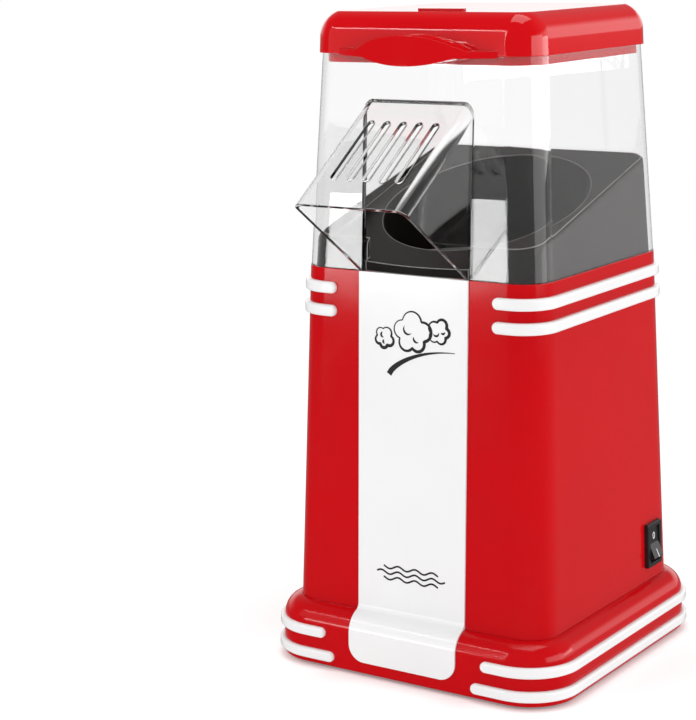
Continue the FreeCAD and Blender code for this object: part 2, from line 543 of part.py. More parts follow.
def make_tab():
    """Finger tab on the lid's front: bowed in plan, an arch above and a lip below."""
    front = -LID.half(HOUSING_TOP_Z)
    bow = (TAB_HALF ** 2 + TAB_REACH ** 2) / (2 * TAB_REACH)
    plan = rod(bow, TAB_LIP_LOW - 1, TAB_ARCH_TOP + 1, 0, front - TAB_REACH + bow)

    def bump(half, edge_z, crest_z):
        middle = Part.Arc(Vector(-half, 0, edge_z), Vector(0, 0, crest_z), Vector(half, 0, edge_z))
        base_line = Part.LineSegment(Vector(half, 0, edge_z), Vector(-half, 0, edge_z))
        outline = Part.Face(Part.Wire([middle.toShape(), base_line.toShape()]))
        solid = outline.extrude(Vector(0, FAR, 0))
        solid.translate(Vector(0, -FAR, 0))
        return solid

    ledge = box(-TAB_HALF, TAB_HALF, -FAR, 0, TAB_LEDGE_LOW, TAB_LEDGE_HIGH)
    profile = fuse([ledge, bump(TAB_ARCH_HALF, TAB_LEDGE_HIGH, TAB_ARCH_TOP),
                    bump(TAB_LIP_HALF, TAB_LEDGE_LOW, TAB_LIP_LOW)])
    tab = plan.common(profile)
    tab = tab.common(box(-FAR, FAR, -FAR, front + LID_WALL, 0, FAR))
    clear_of_wall = HOUSING.solid(TAB_LIP_LOW - 5, HOUSING_TOP_Z, -LIFT_GAP)
    return tab.cut(clear_of_wall)


# =============================================================================================
# Chute insert and popping chamber
# =============================================================================================
def make_chute_insert():
    """Dark funnel: sloping chute floor with a round mouth, side walls and a tongue at the exit."""
    front_y = -BODY.half(BODY_TOP_Z)
    back_y = HOUSING.half(FLOOR_BACK_Z) - INSERT_INSET
    block = HOUSING.solid(DECK_TOP_Z, RIM_BACK_Z + 5, INSERT_INSET)
    block = block.cut(above_line(-back_y, RIM_FRONT_Z, back_y, RIM_BACK_Z))
    crest = [e for e in block.Edges
             if e.BoundBox.XLength > 2 * HOUSING_CORNER and e.BoundBox.YMin > 0
             and e.BoundBox.ZMin > RIM_BACK_Z - 3]
    block = block.makeFillet(INSERT_BACK_ROUND, crest)
    inner = HOUSING.solid(DECK_TOP_Z - 1, RIM_BACK_Z + 6, INSERT_INSET + INSERT_WALL)
    above_floor = above_line(front_y, FLOOR_LIP_Z, back_y, FLOOR_BACK_Z)
    above_underside = above_line(front_y, FLOOR_LIP_Z - INSERT_WALL, back_y,
                                 FLOOR_BACK_Z - INSERT_WALL)
    block = block.cut(inner.common(above_floor)).cut(inner.cut(above_underside))
    slope = (FLOOR_BACK_Z - FLOOR_LIP_Z) / (back_y - front_y)
    funnel = rod(FUNNEL_TOP_R + INSERT_WALL, FLANGE_TOP_Z, RIM_BACK_Z).cut(above_underside)
    bosses = [rod(BOSS_R, DECK_TOP_Z, RIM_BACK_Z, sx * INSERT_SCREW_OFFSET, sy * INSERT_SCREW_OFFSET)
              .cut(above_underside) for sx, sy in CORNERS]
    bosses = [b.common(HOUSING.solid(DECK_TOP_Z, RIM_BACK_Z, INSERT_INSET + INSERT_WALL / 2))
              for b in bosses]
    tongue = box(-TONGUE_HALF, TONGUE_HALF, front_y, -back_y + INSERT_WALL + 2, BODY_TOP_Z,
                 RIM_FRONT_Z)
    bow = rod(TONGUE_BOW, BODY_TOP_Z - 1, RIM_FRONT_Z + 1, 0, front_y + TONGUE_BOW)
    tongue = tongue.common(bow).cut(above_floor)
    insert = fuse([block, funnel, tongue, *bosses])
    exit_gap = box(-TONGUE_HALF, TONGUE_HALF, -FAR, -back_y + INSERT_WALL + 4, BODY_TOP_Z, FAR)
    insert = insert.cut(exit_gap.common(above_floor))
    throat = Part.makeCone(CHAMBER_R + CHAMBER_WALL / 2, FUNNEL_TOP_R, FLOOR_BACK_Z - FLANGE_TOP_Z,
                           Vector(0, 0, FLANGE_TOP_Z))
    insert = insert.cut(throat).cut(rod(CHAMBER_R, DECK_TOP_Z - 1, FLANGE_TOP_Z + 1))
    insert = insert.cut(rod(CHAMBER_FLANGE_R + 0.5, DECK_TOP_Z - 1, FLANGE_TOP_Z))
    for sx, sy in CORNERS:
        insert = insert.cut(pilot_hole(sx * INSERT_SCREW_OFFSET, sy * INSERT_SCREW_OFFSET,
                                       DECK_TOP_Z - 1, DECK_TOP_Z + SCREW_LENGTH - DECK_THICK))
    return insert


def make_popping_chamber():
    """Aluminium cup with slanted louvres just above its floor and a flange at its mouth."""
    outer = rod(CHAMBER_R + CHAMBER_WALL, CHAMBER_FLOOR_Z, FLANGE_TOP_Z)
    outer = outer.makeFillet(CHAMBER_FLOOR_ROUND, edges_at(outer, CHAMBER_FLOOR_Z))
    inner = rod(CHAMBER_R, CHAMBER_FLOOR_Z + CHAMBER_WALL, FLANGE_TOP_Z + 1)
    inner = inner.makeFillet(CHAMBER_FLOOR_ROUND - CHAMBER_WALL,
                             edges_at(inner, CHAMBER_FLOOR_Z + CHAMBER_WALL))
    cup = fuse([outer, rod(CHAMBER_FLANGE_R, FLANGE_LOW_Z, FLANGE_TOP_Z)]).cut(inner)
    low = CHAMBER_FLOOR_Z + LOUVRE_LIFT
    for index in range(LOUVRES):
        cut = box(-LOUVRE_REACH, LOUVRE_REACH, -LOUVRE_WIDTH / 2, LOUVRE_WIDTH / 2,
                  low, low + LOUVRE_HEIGHT)
        cut.rotate(Vector(0, 0, 0), Z_AXIS, LOUVRE_TURN)
        cut.translate(Vector(CHAMBER_R + CHAMBER_WALL / 2, 0, 0))
        cup = cup.cut(turned(cut, index * 360 / LOUVRES))
    return cup


# =============================================================================================
# Duct, heater and fan
# =============================================================================================
def make_fan_housing():
    """Air duct round the fan and heater: lugs at the top, a screw flange at the bottom."""
    tube = [rod(DUCT_R, DUCT_LOW_Z, DUCT_TOP_Z),
            rod(DUCT_FLANGE_R, DUCT_LOW_Z, DUCT_LOW_Z + DUCT_FLANGE_THICK)]
    low = DUCT_TOP_Z - DUCT_FLANGE_THICK
    reach = DUCT_LUG_OFFSET * math.sqrt(2)
    for sx, sy in CORNERS:
        arm = box(0, reach, -DUCT_LUG_R, DUCT_LUG_R, low, DUCT_TOP_Z)
        tube.append(turned(arm, math.degrees(math.atan2(sy, sx))))
        tube.append(rod(DUCT_LUG_R, low, DUCT_TOP_Z, sx * DUCT_LUG_OFFSET, sy * DUCT_LUG_OFFSET))
    bore_r = DUCT_R - DUCT_WALL
    duct = fuse(tube).cut(rod(bore_r, DUCT_LOW_Z - 1, DUCT_TOP_Z + 1))
    ledges = []
    for index in range(4):
        ledge = box(bore_r - FORMER_LEDGE, bore_r + DUCT_WALL / 2, -FORMER_LEDGE, FORMER_LEDGE,
                    FORMER_LOW_Z - FORMER_LEDGE, FORMER_LOW_Z)
        ledges.append(turned(ledge, index * 90))
    duct = fuse([duct, *ledges])
    for sx, sy in CORNERS:
        duct = duct.cut(screw_hole(sx * DUCT_LUG_OFFSET, sy * DUCT_LUG_OFFSET, low - 1,
                                   DUCT_TOP_Z + 1))
    for x, y in plate_screw_places():
        duct = duct.cut(pilot_hole(x, y, DUCT_LOW_Z - 1, DUCT_LOW_Z + PLATE_SCREW_LENGTH))
    return duct


def plate_screw_places():
    """Where the motor plate is screwed to the duct's lower flange: three places round the axis."""
    angles = [math.radians(90 + 120 * index) for index in range(3)]
    return [(PLATE_SCREW_CIRCLE * math.cos(a), PLATE_SCREW_CIRCLE * math.sin(a)) for a in angles]


def make_heat_shield():
    return ring(SHIELD_R, SHIELD_R - SHIELD_WALL, DUCT_TOP_Z, DECK_LOW_Z)


def coil_turn(radius):
    turn = Part.makeTorus(radius, COIL_WIRE_R)
    turn.translate(Vector(0, 0, FORMER_LOW_Z + FORMER_HEIGHT / 2))
    return turn


def make_heater_former():
    """Two crossed mica boards, drilled where the coil's turns pass through."""
    half = DUCT_R - DUCT_WALL - PLUG_GAP
    board = box(-half, half, -FORMER_THICK / 2, FORMER_THICK / 2, FORMER_LOW_Z,
                FORMER_LOW_Z + FORMER_HEIGHT)
    cross = fuse([board, turned(board, 90)])
    for radius in COIL_RADII:
        cross = cross.cut(coil_turn(radius))
    return cross


def make_thermostat():
    """Bimetal disc switch under the chamber's floor, with two contact blades."""
    top, low = CHAMBER_FLOOR_Z, CHAMBER_FLOOR_Z - THERMOSTAT_HEIGHT
    length, width, thick = THERMOSTAT_BLADE
    parts = [rod(THERMOSTAT_R, low, top)]
    for s in SIDES:
        x = s * (THERMOSTAT_R - THERMOSTAT_BLADE_INSET)
        parts.append(box(x - thick / 2, x + thick / 2, -width / 2, width / 2, low - length, low + 0.1))
    return fuse(parts)


def make_thermal_fuse():
    """Axial cut-out that lies on the heater former's top edge."""
    z = FORMER_LOW_Z + FORMER_HEIGHT + FUSE_R
    start = Vector(FUSE_X - FUSE_LENGTH / 2, 0, z)
    wire = Vector(FUSE_X - FUSE_LENGTH / 2 - FUSE_LEAD, 0, z)
    return fuse([rod_along(X_AXIS, FUSE_R, start, FUSE_LENGTH),
                 rod_along(X_AXIS, FUSE_LEAD_R, wire, FUSE_LENGTH + 2 * FUSE_LEAD)])


def make_fan_impeller():
    """Axial fan: a hub on the motor's shaft and pitched blades."""
    hub_top = FAN_LOW_Z + FAN_HUB_HEIGHT
    hub = rod(FAN_HUB_R, FAN_LOW_Z, hub_top)
    hub = hub.makeFillet(FAN_HUB_ROUND, edges_at(hub, hub_top))
    reach = rod(FAN_R, FAN_LOW_Z - FAN_HUB_HEIGHT, hub_top + FAN_HUB_HEIGHT)
    blades = []
    for index in range(FAN_BLADES):
        blade = box(FAN_HUB_R - FAN_BLADE_ROOT, FAN_R + FAN_CHORD, -FAN_CHORD / 2, FAN_CHORD / 2,
                    -FAN_BLADE_THICK / 2, FAN_BLADE_THICK / 2)
        blade.rotate(Vector(0, 0, 0), X_AXIS, FAN_PITCH)
        blade.translate(Vector(0, 0, FAN_LOW_Z + FAN_HUB_HEIGHT / 2))
        blades.append(turned(blade, index * 360 / FAN_BLADES).common(reach))
    return fuse([hub, *blades]).cut(rod(SHAFT_R, FAN_LOW_Z - 1, hub_top + 1))


# =============================================================================================
# Motor
# =============================================================================================
def motor_screw_places():
    return [(sx * MOTOR_SCREW_CIRCLE, 0.0) for sx in SIDES]


def make_motor_mount():
    """Steel spider under the duct: the air passes between its spokes and the motor hangs from it."""
    z0, z1 = MOUNT_LOW_Z, DUCT_LOW_Z
    spokes = [box(-DUCT_R, DUCT_R, -MOUNT_SPOKE / 2, MOUNT_SPOKE / 2, z0, z1)]
    spokes.append(turned(spokes[0], 90))
    outer = ring(DUCT_FLANGE_R, DUCT_R - MOUNT_RING_WIDTH, z0, z1)
    plate = fuse([outer, rod(MOUNT_HUB_R, z0, z1), *spokes])
    plate = plate.cut(rod(MOTOR_BOSS_R + PLUG_GAP, z0 - 1, z1 + 1))
    for x, y in [*motor_screw_places(), *plate_screw_places()]:
        plate = plate.cut(screw_hole(x, y, z0 - 1, z1 + 1))
    return plate


def make_motor_can():
    boss = rod(MOTOR_BOSS_R, MOUNT_LOW_Z - 1, MOUNT_LOW_Z + MOTOR_BOSS_HEIGHT)
    body = rod(MOTOR_R, MOTOR_LOW_Z, MOUNT_LOW_Z)
    can = fuse([body, boss]).cut(rod(MOTOR_R - MOTOR_WALL, MOTOR_LOW_Z - 1, MOUNT_LOW_Z - MOTOR_WALL))
    top = MOUNT_LOW_Z + MOTOR_BOSS_HEIGHT
    can = can.cut(rod(BUSH_R, top - BUSH_LENGTH, top + 1)).cut(rod(BUSH_R, MOUNT_LOW_Z - 2, top))
    for x, y in motor_screw_places():
        can = can.cut(pilot_hole(x, y, MOUNT_LOW_Z - MOTOR_WALL - 1, MOUNT_LOW_Z + 1))
    return can


def make_motor_bushes():
    """Two sintered bushes: in the can's boss and in the end cap."""
    top = MOUNT_LOW_Z + MOTOR_BOSS_HEIGHT
    low = MOTOR_LOW_Z - END_CAP_THICK
    inner = SHAFT_R + RUNNING_GAP
    return Part.makeCompound([ring(BUSH_R, inner, top - BUSH_LENGTH, top),
                              ring(BUSH_R, inner, low, low + BUSH_LENGTH)])


def make_motor_end_cap():
    """Moulded cap that closes the can, with two nubs that carry the rectifier board."""
    low = MOTOR_LOW_Z - END_CAP_THICK
    parts = [rod(MOTOR_R, low, MOTOR_LOW_Z), rod(BUSH_R + BUSH_SEAT_WALL, low, low + BUSH_LENGTH)]
    for s in SIDES:
        parts.append(rod(BOARD_NUB_R, low - BOARD_GAP, low + 1, 0, s * BOARD_NUB_Y))
    return fuse(parts).cut(rod(BUSH_R, low - 1, low + BUSH_LENGTH + 1))


def make_motor_magnets():
    """Two arc magnets inside the can."""
    outer = MOTOR_R - MOTOR_WALL - MAGNET_GAP
    low = MOTOR_LOW_Z + (MOTOR_LENGTH - MAGNET_LENGTH) / 2
    start = Vector(outer - MAGNET_THICK, 0, low)
    section = face_of([start, start + Vector(MAGNET_THICK, 0, 0),
                       start + Vector(MAGNET_THICK, 0, MAGNET_LENGTH),
                       start + Vector(0, 0, MAGNET_LENGTH)])
    arc = section.revolve(Vector(0, 0, 0), Z_AXIS, MAGNET_SPAN)
    arc = turned(arc, -MAGNET_SPAN / 2)
    return Part.makeCompound([arc, turned(arc, 180)])


def armature_span():
    low = MOTOR_LOW_Z + (MOTOR_LENGTH - ARMATURE_LENGTH) / 2
    return low, low + ARMATURE_LENGTH


def make_motor_armature():
    """Laminated core with one slot between each two poles."""
    low, top = armature_span()
    core = rod(ARMATURE_R, low, top)
    for index in range(ARMATURE_POLES):
        slot = box(ARMATURE_YOKE_R, ARMATURE_R + 1, -ARMATURE_SLOT / 2, ARMATURE_SLOT / 2,
                   low - 1, top + 1)
        core = core.cut(turned(slot, index * 360 / ARMATURE_POLES))
    return core.cut(rod(SHAFT_R, low - 1, top + 1))


def make_armature_windings():
    """Copper in each slot, standing a little above and below the core."""
    low, top = armature_span()
    coils = []
    for index in range(ARMATURE_POLES):
        coil = box(ARMATURE_YOKE_R, ARMATURE_R - WINDING_INSET, -ARMATURE_SLOT / 2, ARMATURE_SLOT / 2,
                   low - WINDING_OVERHANG, top + WINDING_OVERHANG)
        coils.append(turned(coil, index * 360 / ARMATURE_POLES))
    return Part.makeCompound(coils)


def make_motor_shaft():
    return rod(SHAFT_R, MOTOR_LOW_Z - END_CAP_THICK, FAN_LOW_Z + FAN_HUB_HEIGHT + SHAFT_ABOVE_HUB)


def board_top():
    return MOTOR_LOW_Z - END_CAP_THICK - BOARD_GAP


def make_rectifier_board():
    low = board_top() - BOARD_THICK
    return ring(BOARD_R, BOARD_HOLE_R, low, board_top())


def make_rectifier_diodes():
    """Four diodes on the board's underside."""
    z = board_top() - BOARD_THICK - DIODE_R
    diodes = []
    for index in range(DIODES):
        start = Vector(DIODE_CIRCLE, -DIODE_LENGTH / 2, z)
        diodes.append(turned(rod_along(Y_AXIS, DIODE_R, start, DIODE_LENGTH), index * 360 / DIODES))
    return Part.makeCompound(diodes)


# =============================================================================================
# Switch and cord inlet: made facing +X at the origin, then set on the leaning wall
# =============================================================================================
def switch_cavity():
    """Half width, half height of the opening that the rocker moves in."""
    return BEZEL_WIDTH / 2 - SWITCH_RIM_Y, BEZEL_HEIGHT / 2 - SWITCH_RIM_Z


def switch_case_half():
    half_y, half_z = switch_cavity()
    return half_y + SWITCH_SIDE, half_z + SWITCH_END


def make_switch_bezel():
    """Black case of the rocker switch: bezel outside the wall, box inside it."""
    half_y, half_z = switch_cavity()
    case_y, case_z = switch_case_half()
    bezel = box(0, BEZEL_THICK, -BEZEL_WIDTH / 2, BEZEL_WIDTH / 2, -BEZEL_HEIGHT / 2,
                BEZEL_HEIGHT / 2)
    across = [e for e in bezel.Edges if e.BoundBox.XLength > 1]
    bezel = bezel.makeFillet(BEZEL_ROUND, across)
    face_loop = [e for e in bezel.Edges if e.BoundBox.XMin > BEZEL_THICK - 0.01]
    bezel = bezel.makeFillet(BEZEL_EDGE, face_loop)
    case = box(-SWITCH_DEPTH, 0.1, -case_y, case_y, -case_z, case_z)
    whole = fuse([bezel, case])
    whole = whole.cut(box(-SWITCH_DEPTH + SWITCH_SIDE, FAR, -half_y, half_y, -half_z, half_z))
    pivot = Vector(-ROCKER_PIVOT_DEPTH, -FAR / 2, 0)
    bore = rod_along(Y_AXIS, ROCKER_PIN_R + PIN_GAP, pivot, FAR)
    end_y = half_y + ROCKER_PIN_LENGTH
    return whole.cut(bore.common(box(-FAR, FAR, -end_y, end_y, -FAR, FAR)))


def make_switch_rocker():
    """Rocker with a shallow valley across its face, shown with its upper half pressed in."""
    half_y, half_z = switch_cavity()
    half_y -= ROCKER_GAP
    radius = half_z - ROCKER_GAP
    px = -ROCKER_PIVOT_DEPTH
    end = math.radians(ROCKER_END_ANGLE)
    end_x, end_z = px + radius * math.cos(end), radius * math.sin(end)
    drum = rod_along(Y_AXIS, radius, Vector(px, -half_y, 0), 2 * half_y)
    rise = (end_x - ROCKER_VALLEY) / end_z
    side_y = -half_y - 1
    far_x = ROCKER_VALLEY + rise * PAST
    outside = face_of([Vector(ROCKER_VALLEY, side_y, 0), Vector(far_x, side_y, PAST),
                       Vector(FAR, side_y, PAST), Vector(FAR, side_y, -PAST),
                       Vector(far_x, side_y, -PAST)])
    rocker = drum.cut(outside.extrude(Vector(0, -2 * side_y, 0)))
    rocker = rocker.cut(box(-FAR, px - ROCKER_BACK, -FAR, FAR, -FAR, FAR))
    pin_end = half_y + ROCKER_GAP + ROCKER_PIN_LENGTH - PIN_END_GAP
    pins = rod_along(Y_AXIS, ROCKER_PIN_R, Vector(px, -pin_end, 0), 2 * pin_end)
    rocker = fuse([rocker, pins])
    rocker.rotate(Vector(px, 0, 0), Y_AXIS, -ROCKER_THROW / 2)
    return rocker


def make_switch_terminals():
    blades = []
    for s in SIDES:
        z = s * BLADE_OFFSET
        blades.append(box(-SWITCH_DEPTH - BLADE_LENGTH, -SWITCH_DEPTH, -BLADE_WIDTH / 2,
                          BLADE_WIDTH / 2, z - BLADE_THICK / 2, z + BLADE_THICK / 2))
    return Part.makeCompound(blades)


def switch_wall_hole():
    case_y, case_z = switch_case_half()
    return box(-SWITCH_DEPTH, PAST, -case_y, case_y, -case_z, case_z)


def on_switch(shape):
    return on_wall(shape, BODY, SWITCH_Y, SWITCH_Z, 0)


def make_cord_gland():
    """Inlet bush: a flange outside the wall, a stem through it and a collar inside."""
    flange = rod_along(X_AXIS, GLAND_FLANGE_R, Vector(0, 0, 0), GLAND_FLANGE_THICK)
    rim = [e for e in flange.Edges
           if e.BoundBox.XLength < 0.01 and e.BoundBox.XMin > GLAND_FLANGE_THICK - 0.01]
    flange = flange.makeFillet(GLAND_FLANGE_THICK * FULL_ROUND, rim)
    tail = -BODY_WALL - GLAND_TAIL
    stem = rod_along(X_AXIS, GLAND_STEM_R, Vector(tail, 0, 0), -tail + 0.1)
    collar = rod_along(X_AXIS, GLAND_COLLAR_R, Vector(tail, 0, 0), GLAND_TAIL)
    bore = rod_along(X_AXIS, GLAND_BORE_R, Vector(tail - 1, 0, 0), PAST)
    return fuse([flange, stem, collar]).cut(bore)


def gland_wall_hole():
    return rod_along(X_AXIS, GLAND_STEM_R, Vector(-PAST / 2, 0, 0), PAST)


def on_rear(shape):
    return on_wall(shape, BODY, 0.0, GLAND_Z, 1)


# =============================================================================================
# Screws and leads
# =============================================================================================
def corner_screws(offset, head_z, length):
    return Part.makeCompound([screw(sx * offset, sy * offset, head_z, length) for sx, sy in CORNERS])


def make_leads():
    """Inside leads: inlet to switch, switch to board and inlet to board."""
    inlet_y = BODY.half(GLAND_Z) - BODY_WALL - GLAND_TAIL
    low, high = [on_switch(Part.Vertex(-SWITCH_DEPTH - BLADE_LENGTH, 0, s * BLADE_OFFSET)).Point
                 for s in SIDES]
    board_z = board_top() - BOARD_THICK / 2
    beside_motor = MOTOR_R + LEAD_RUN
    left, right = [(s * BOARD_R * math.cos(LEAD_ANGLE), BOARD_R * math.sin(LEAD_ANGLE))
                   for s in SIDES]
    out = (BOARD_R + LEAD_RUN) / BOARD_R
    runs = [
        [(LEAD_SPREAD, inlet_y, GLAND_Z), (LEAD_SPREAD, inlet_y - LEAD_RUN, GLAND_Z),
         (high.x - LEAD_RUN, high.y, high.z), (high.x, high.y, high.z)],
        [(low.x, low.y, low.z), (low.x - LEAD_RUN, low.y, low.z),
         (right[0] * out, right[1] * out, board_z), (*right, board_z)],
        [(-LEAD_SPREAD, inlet_y, GLAND_Z), (-LEAD_SPREAD, inlet_y - LEAD_RUN, GLAND_Z),
         (-beside_motor, beside_motor, board_z + LEAD_RUN),
         (left[0] * out, left[1] * out, board_z), (*left, board_z)],
    ]
    return Part.makeCompound([lead(run) for run in runs])


# =============================================================================================
# Assembly
# =============================================================================================
def build():
    panel = make_front_panel()
    NODES["front_panel"] = panel
    NODES["base_shell"] = make_base_shell(panel)
    NODES["body_shell"] = make_body_shell(panel, on_switch(switch_wall_hole()),
                                          on_rear(gland_wall_hole()))
    for name, z in zip(("body_trim_lower", "body_trim_upper"), BODY_TRIM_LOW_Z):
        NODES[name] = make_trim(BODY, z, BODY_TRIM_HEIGHT, BODY_TRIM_PROUD, BODY_TRIM_END)
    for name, z, end_x in zip(("base_trim_lower", "base_trim_upper"), BASE_TRIM_LOW_Z,
                              BASE_TRIM_END):
        NODES[name] = make_trim(BASE, z, BASE_TRIM_HEIGHT, BASE_TRIM_PROUD, end_x)
    NODES["bottom_cover"] = make_bottom_cover()
    NODES["rubber_feet"] = make_feet()

    NODES["clear_housing"] = make_clear_housing()
    NODES["chute_hood"] = make_chute_hood()
    NODES["lid"] = make_lid()
    NODES["chute_insert"] = make_chute_insert()

    NODES["popping_chamber"] = make_popping_chamber()
    NODES["chamber_gasket"] = ring(CHAMBER_FLANGE_R, CHAMBER_R + CHAMBER_WALL + DECK_HOLE_GAP,
                                   DECK_TOP_Z, FLANGE_LOW_Z)
    NODES["heat_shield"] = make_heat_shield()
    NODES["fan_housing"] = make_fan_housing()
    NODES["heater_former"] = make_heater_former()
    NODES["heater_coil"] = Part.makeCompound([coil_turn(radius) for radius in COIL_RADII])
    NODES["thermostat"] = make_thermostat()
    NODES["thermal_fuse"] = make_thermal_fuse()
    NODES["fan_impeller"] = make_fan_impeller()

    NODES["motor_mount"] = make_motor_mount()
    NODES["motor_can"] = make_motor_can()
    NODES["motor_end_cap"] = make_motor_end_cap()
    NODES["motor_bushes"] = make_motor_bushes()
    NODES["motor_magnets"] = make_motor_magnets()
    NODES["motor_armature"] = make_motor_armature()
    NODES["armature_windings"] = make_armature_windings()
    NODES["motor_shaft"] = make_motor_shaft()
    NODES["rectifier_board"] = make_rectifier_board()
    NODES["rectifier_diodes"] = make_rectifier_diodes()

    NODES["switch_bezel"] = on_switch(make_switch_bezel())
    NODES["switch_rocker"] = on_switch(make_switch_rocker())
    NODES["switch_terminals"] = on_switch(make_switch_terminals())
    NODES["cord_gland"] = on_rear(make_cord_gland())
    NODES["inner_leads"] = make_leads()

    NODES["cover_screws"] = corner_screws(COVER_SCREW_OFFSET, COVER_LOW_Z, SCREW_LENGTH)
    NODES["body_screws"] = corner_screws(BODY_SCREW_OFFSET, SHELF_LOW_Z, SCREW_LENGTH)
    NODES["duct_screws"] = corner_screws(DUCT_LUG_OFFSET, DUCT_TOP_Z - DUCT_FLANGE_THICK,
                                         DUCT_SCREW_LENGTH)
    NODES["insert_screws"] = corner_screws(INSERT_SCREW_OFFSET, DECK_LOW_Z, SCREW_LENGTH - DECK_THICK)
    NODES["plate_screws"] = Part.makeCompound(
        [screw(x, y, MOUNT_LOW_Z, MOUNT_THICK + PLATE_SCREW_LENGTH - 1)
         for x, y in plate_screw_places()])
    NODES["motor_screws"] = Part.makeCompound(
        [screw(x, y, DUCT_LOW_Z, MOUNT_THICK + MOTOR_WALL, up=False)
         for x, y in motor_screw_places()])


def export():
    """Centres the whole object in Y on the origin and writes one file for each node."""
    os.makedirs("parts", exist_ok=True)
    box_all = Part.makeCompound(list(NODES.values())).BoundBox
    shift = Vector(0, -(box_all.YMin + box_all.YMax) / 2, 0)
    print("size", box_all.XLength, box_all.YLength, box_all.ZLength, "shift", shift.y)
    pivot = on_switch(Part.Vertex(-ROCKER_PIVOT_DEPTH, 0, 0)).Point + shift
    inlet = on_rear(Part.Vertex(GLAND_FLANGE_THICK / 2, 0, 0)).Point + shift
    print("rocker pivot", pivot, "inlet", inlet, "wall lean", BODY.lean())
    for name, shape in NODES.items():
        shape.translate(shift)
        shape.exportStep(f"parts/{name}.step")
        print(name, len(shape.Solids), "solids", round(shape.Volume), "mm3", shape.isValid())


build()
export()
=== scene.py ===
"""Looks of the hot-air popcorn maker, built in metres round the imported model's frame."""
import logging
import math
from dataclasses import dataclass, field
from enum import Enum
from typing import Callable, ClassVar, Sequence

import bmesh
import bpy
from bpy.types import Material, Node, NodeSocket, NodeTree, Object
from mathutils import Matrix, Vector
from mathutils.bvhtree import BVHTree


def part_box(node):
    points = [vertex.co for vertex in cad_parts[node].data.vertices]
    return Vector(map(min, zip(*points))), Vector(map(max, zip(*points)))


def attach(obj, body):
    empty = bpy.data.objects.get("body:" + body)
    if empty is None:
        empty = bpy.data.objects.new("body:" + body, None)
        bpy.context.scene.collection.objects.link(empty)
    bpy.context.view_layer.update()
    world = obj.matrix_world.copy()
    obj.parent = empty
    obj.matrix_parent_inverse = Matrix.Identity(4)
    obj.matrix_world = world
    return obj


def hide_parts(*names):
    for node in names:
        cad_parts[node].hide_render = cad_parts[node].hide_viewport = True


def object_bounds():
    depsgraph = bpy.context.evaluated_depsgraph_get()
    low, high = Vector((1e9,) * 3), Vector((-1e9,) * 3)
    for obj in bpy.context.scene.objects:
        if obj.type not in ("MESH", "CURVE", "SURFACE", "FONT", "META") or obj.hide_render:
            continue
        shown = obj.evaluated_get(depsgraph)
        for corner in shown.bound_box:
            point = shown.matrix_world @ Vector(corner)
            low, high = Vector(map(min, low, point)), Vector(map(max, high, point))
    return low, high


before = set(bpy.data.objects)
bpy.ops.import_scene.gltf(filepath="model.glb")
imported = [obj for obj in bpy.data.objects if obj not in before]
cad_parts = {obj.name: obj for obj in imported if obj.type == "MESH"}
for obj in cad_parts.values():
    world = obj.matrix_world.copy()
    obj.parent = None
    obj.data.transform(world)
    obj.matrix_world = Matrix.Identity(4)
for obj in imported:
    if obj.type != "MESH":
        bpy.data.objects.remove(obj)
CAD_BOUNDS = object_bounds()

LOG = logging.getLogger("popcorn_maker")
MM = 0.001
HOUSING_LEAN = 0.0533            # how far the clear walls come in for each metre of height
MARK_START = 0.01                # how far outside a face its marks are aimed from
MARK_SUNK = 0.25                 # how deep a mark sits in its face, as a share of its height
LAMP_POWER = 4.0                 # watts for a square metre of lamp and a unit of its radiance
Colour = tuple[float, float, float]
Point = tuple[float, float]


# --- Node trees written as expressions ---
def operator(operation: str, swapped: bool = False) -> Callable[..., "Field"]:
    """Makes a method that adds one Math node.

    Args:
        operation: The node's operation.
        swapped: Whether the other value comes first.

    Returns:
        The method.
    """
    def work_out(self: "Field", *others: object) -> "Field":
        """Works the operation out on the field and the others."""
        values = (*others, self) if swapped else (self, *others)
        node = self.tree.node("ShaderNodeMath", {"operation": operation}, dict(enumerate(values)))
        return Field(self.tree, node.outputs[0])

    return work_out


class Field:
    """A number socket that takes part in Python expressions. Angles are in radians."""

    def __init__(self, tree: "Tree", socket: NodeSocket) -> None:
        """Wraps a socket of a tree."""
        self.tree, self.socket = tree, socket

    __add__ = __radd__ = operator("ADD")
    __sub__, __rsub__ = operator("SUBTRACT"), operator("SUBTRACT", True)
    __mul__ = __rmul__ = operator("MULTIPLY")
    __truediv__, __gt__ = operator("DIVIDE"), operator("GREATER_THAN")
    sine, cosine = operator("SINE"), operator("COSINE")

    def ramp(self, low: float, high: float) -> "Field":
        """0 below low, 1 above high and smooth between them."""
        node = self.tree.node("ShaderNodeMapRange", {"interpolation_type": "SMOOTHSTEP"},
                              {"Value": self, "From Min": low, "From Max": high})
        return Field(self.tree, node.outputs["Result"])


class Tree:
    """A node tree and the one way nodes are added to it."""

    def __init__(self, nodes: NodeTree) -> None:
        """Wraps a Blender node tree."""
        self.nodes = nodes

    def node(self, kind: str, settings: dict | None = None, sockets: dict | None = None) -> Node:
        """Adds a node.

        Args:
            kind: The node's type.
            settings: Its properties, set first.
            sockets: Values or links of its inputs, by name or number.

        Returns:
            The new node.
        """
        node = self.nodes.nodes.new(kind)
        for name, value in (settings or {}).items():
            setattr(node, name, value)
        for key, value in (sockets or {}).items():
            socket = node.inputs[key]
            source = value.socket if isinstance(value, Field) else value
            if isinstance(source, NodeSocket):
                self.nodes.links.new(source, socket)
            else:
                socket.default_value = source
        return node


class Wave(Enum):
    """The two kinds of stripes, each with the name of its direction's setting."""

    BANDS = "bands_direction"
    RINGS = "rings_direction"


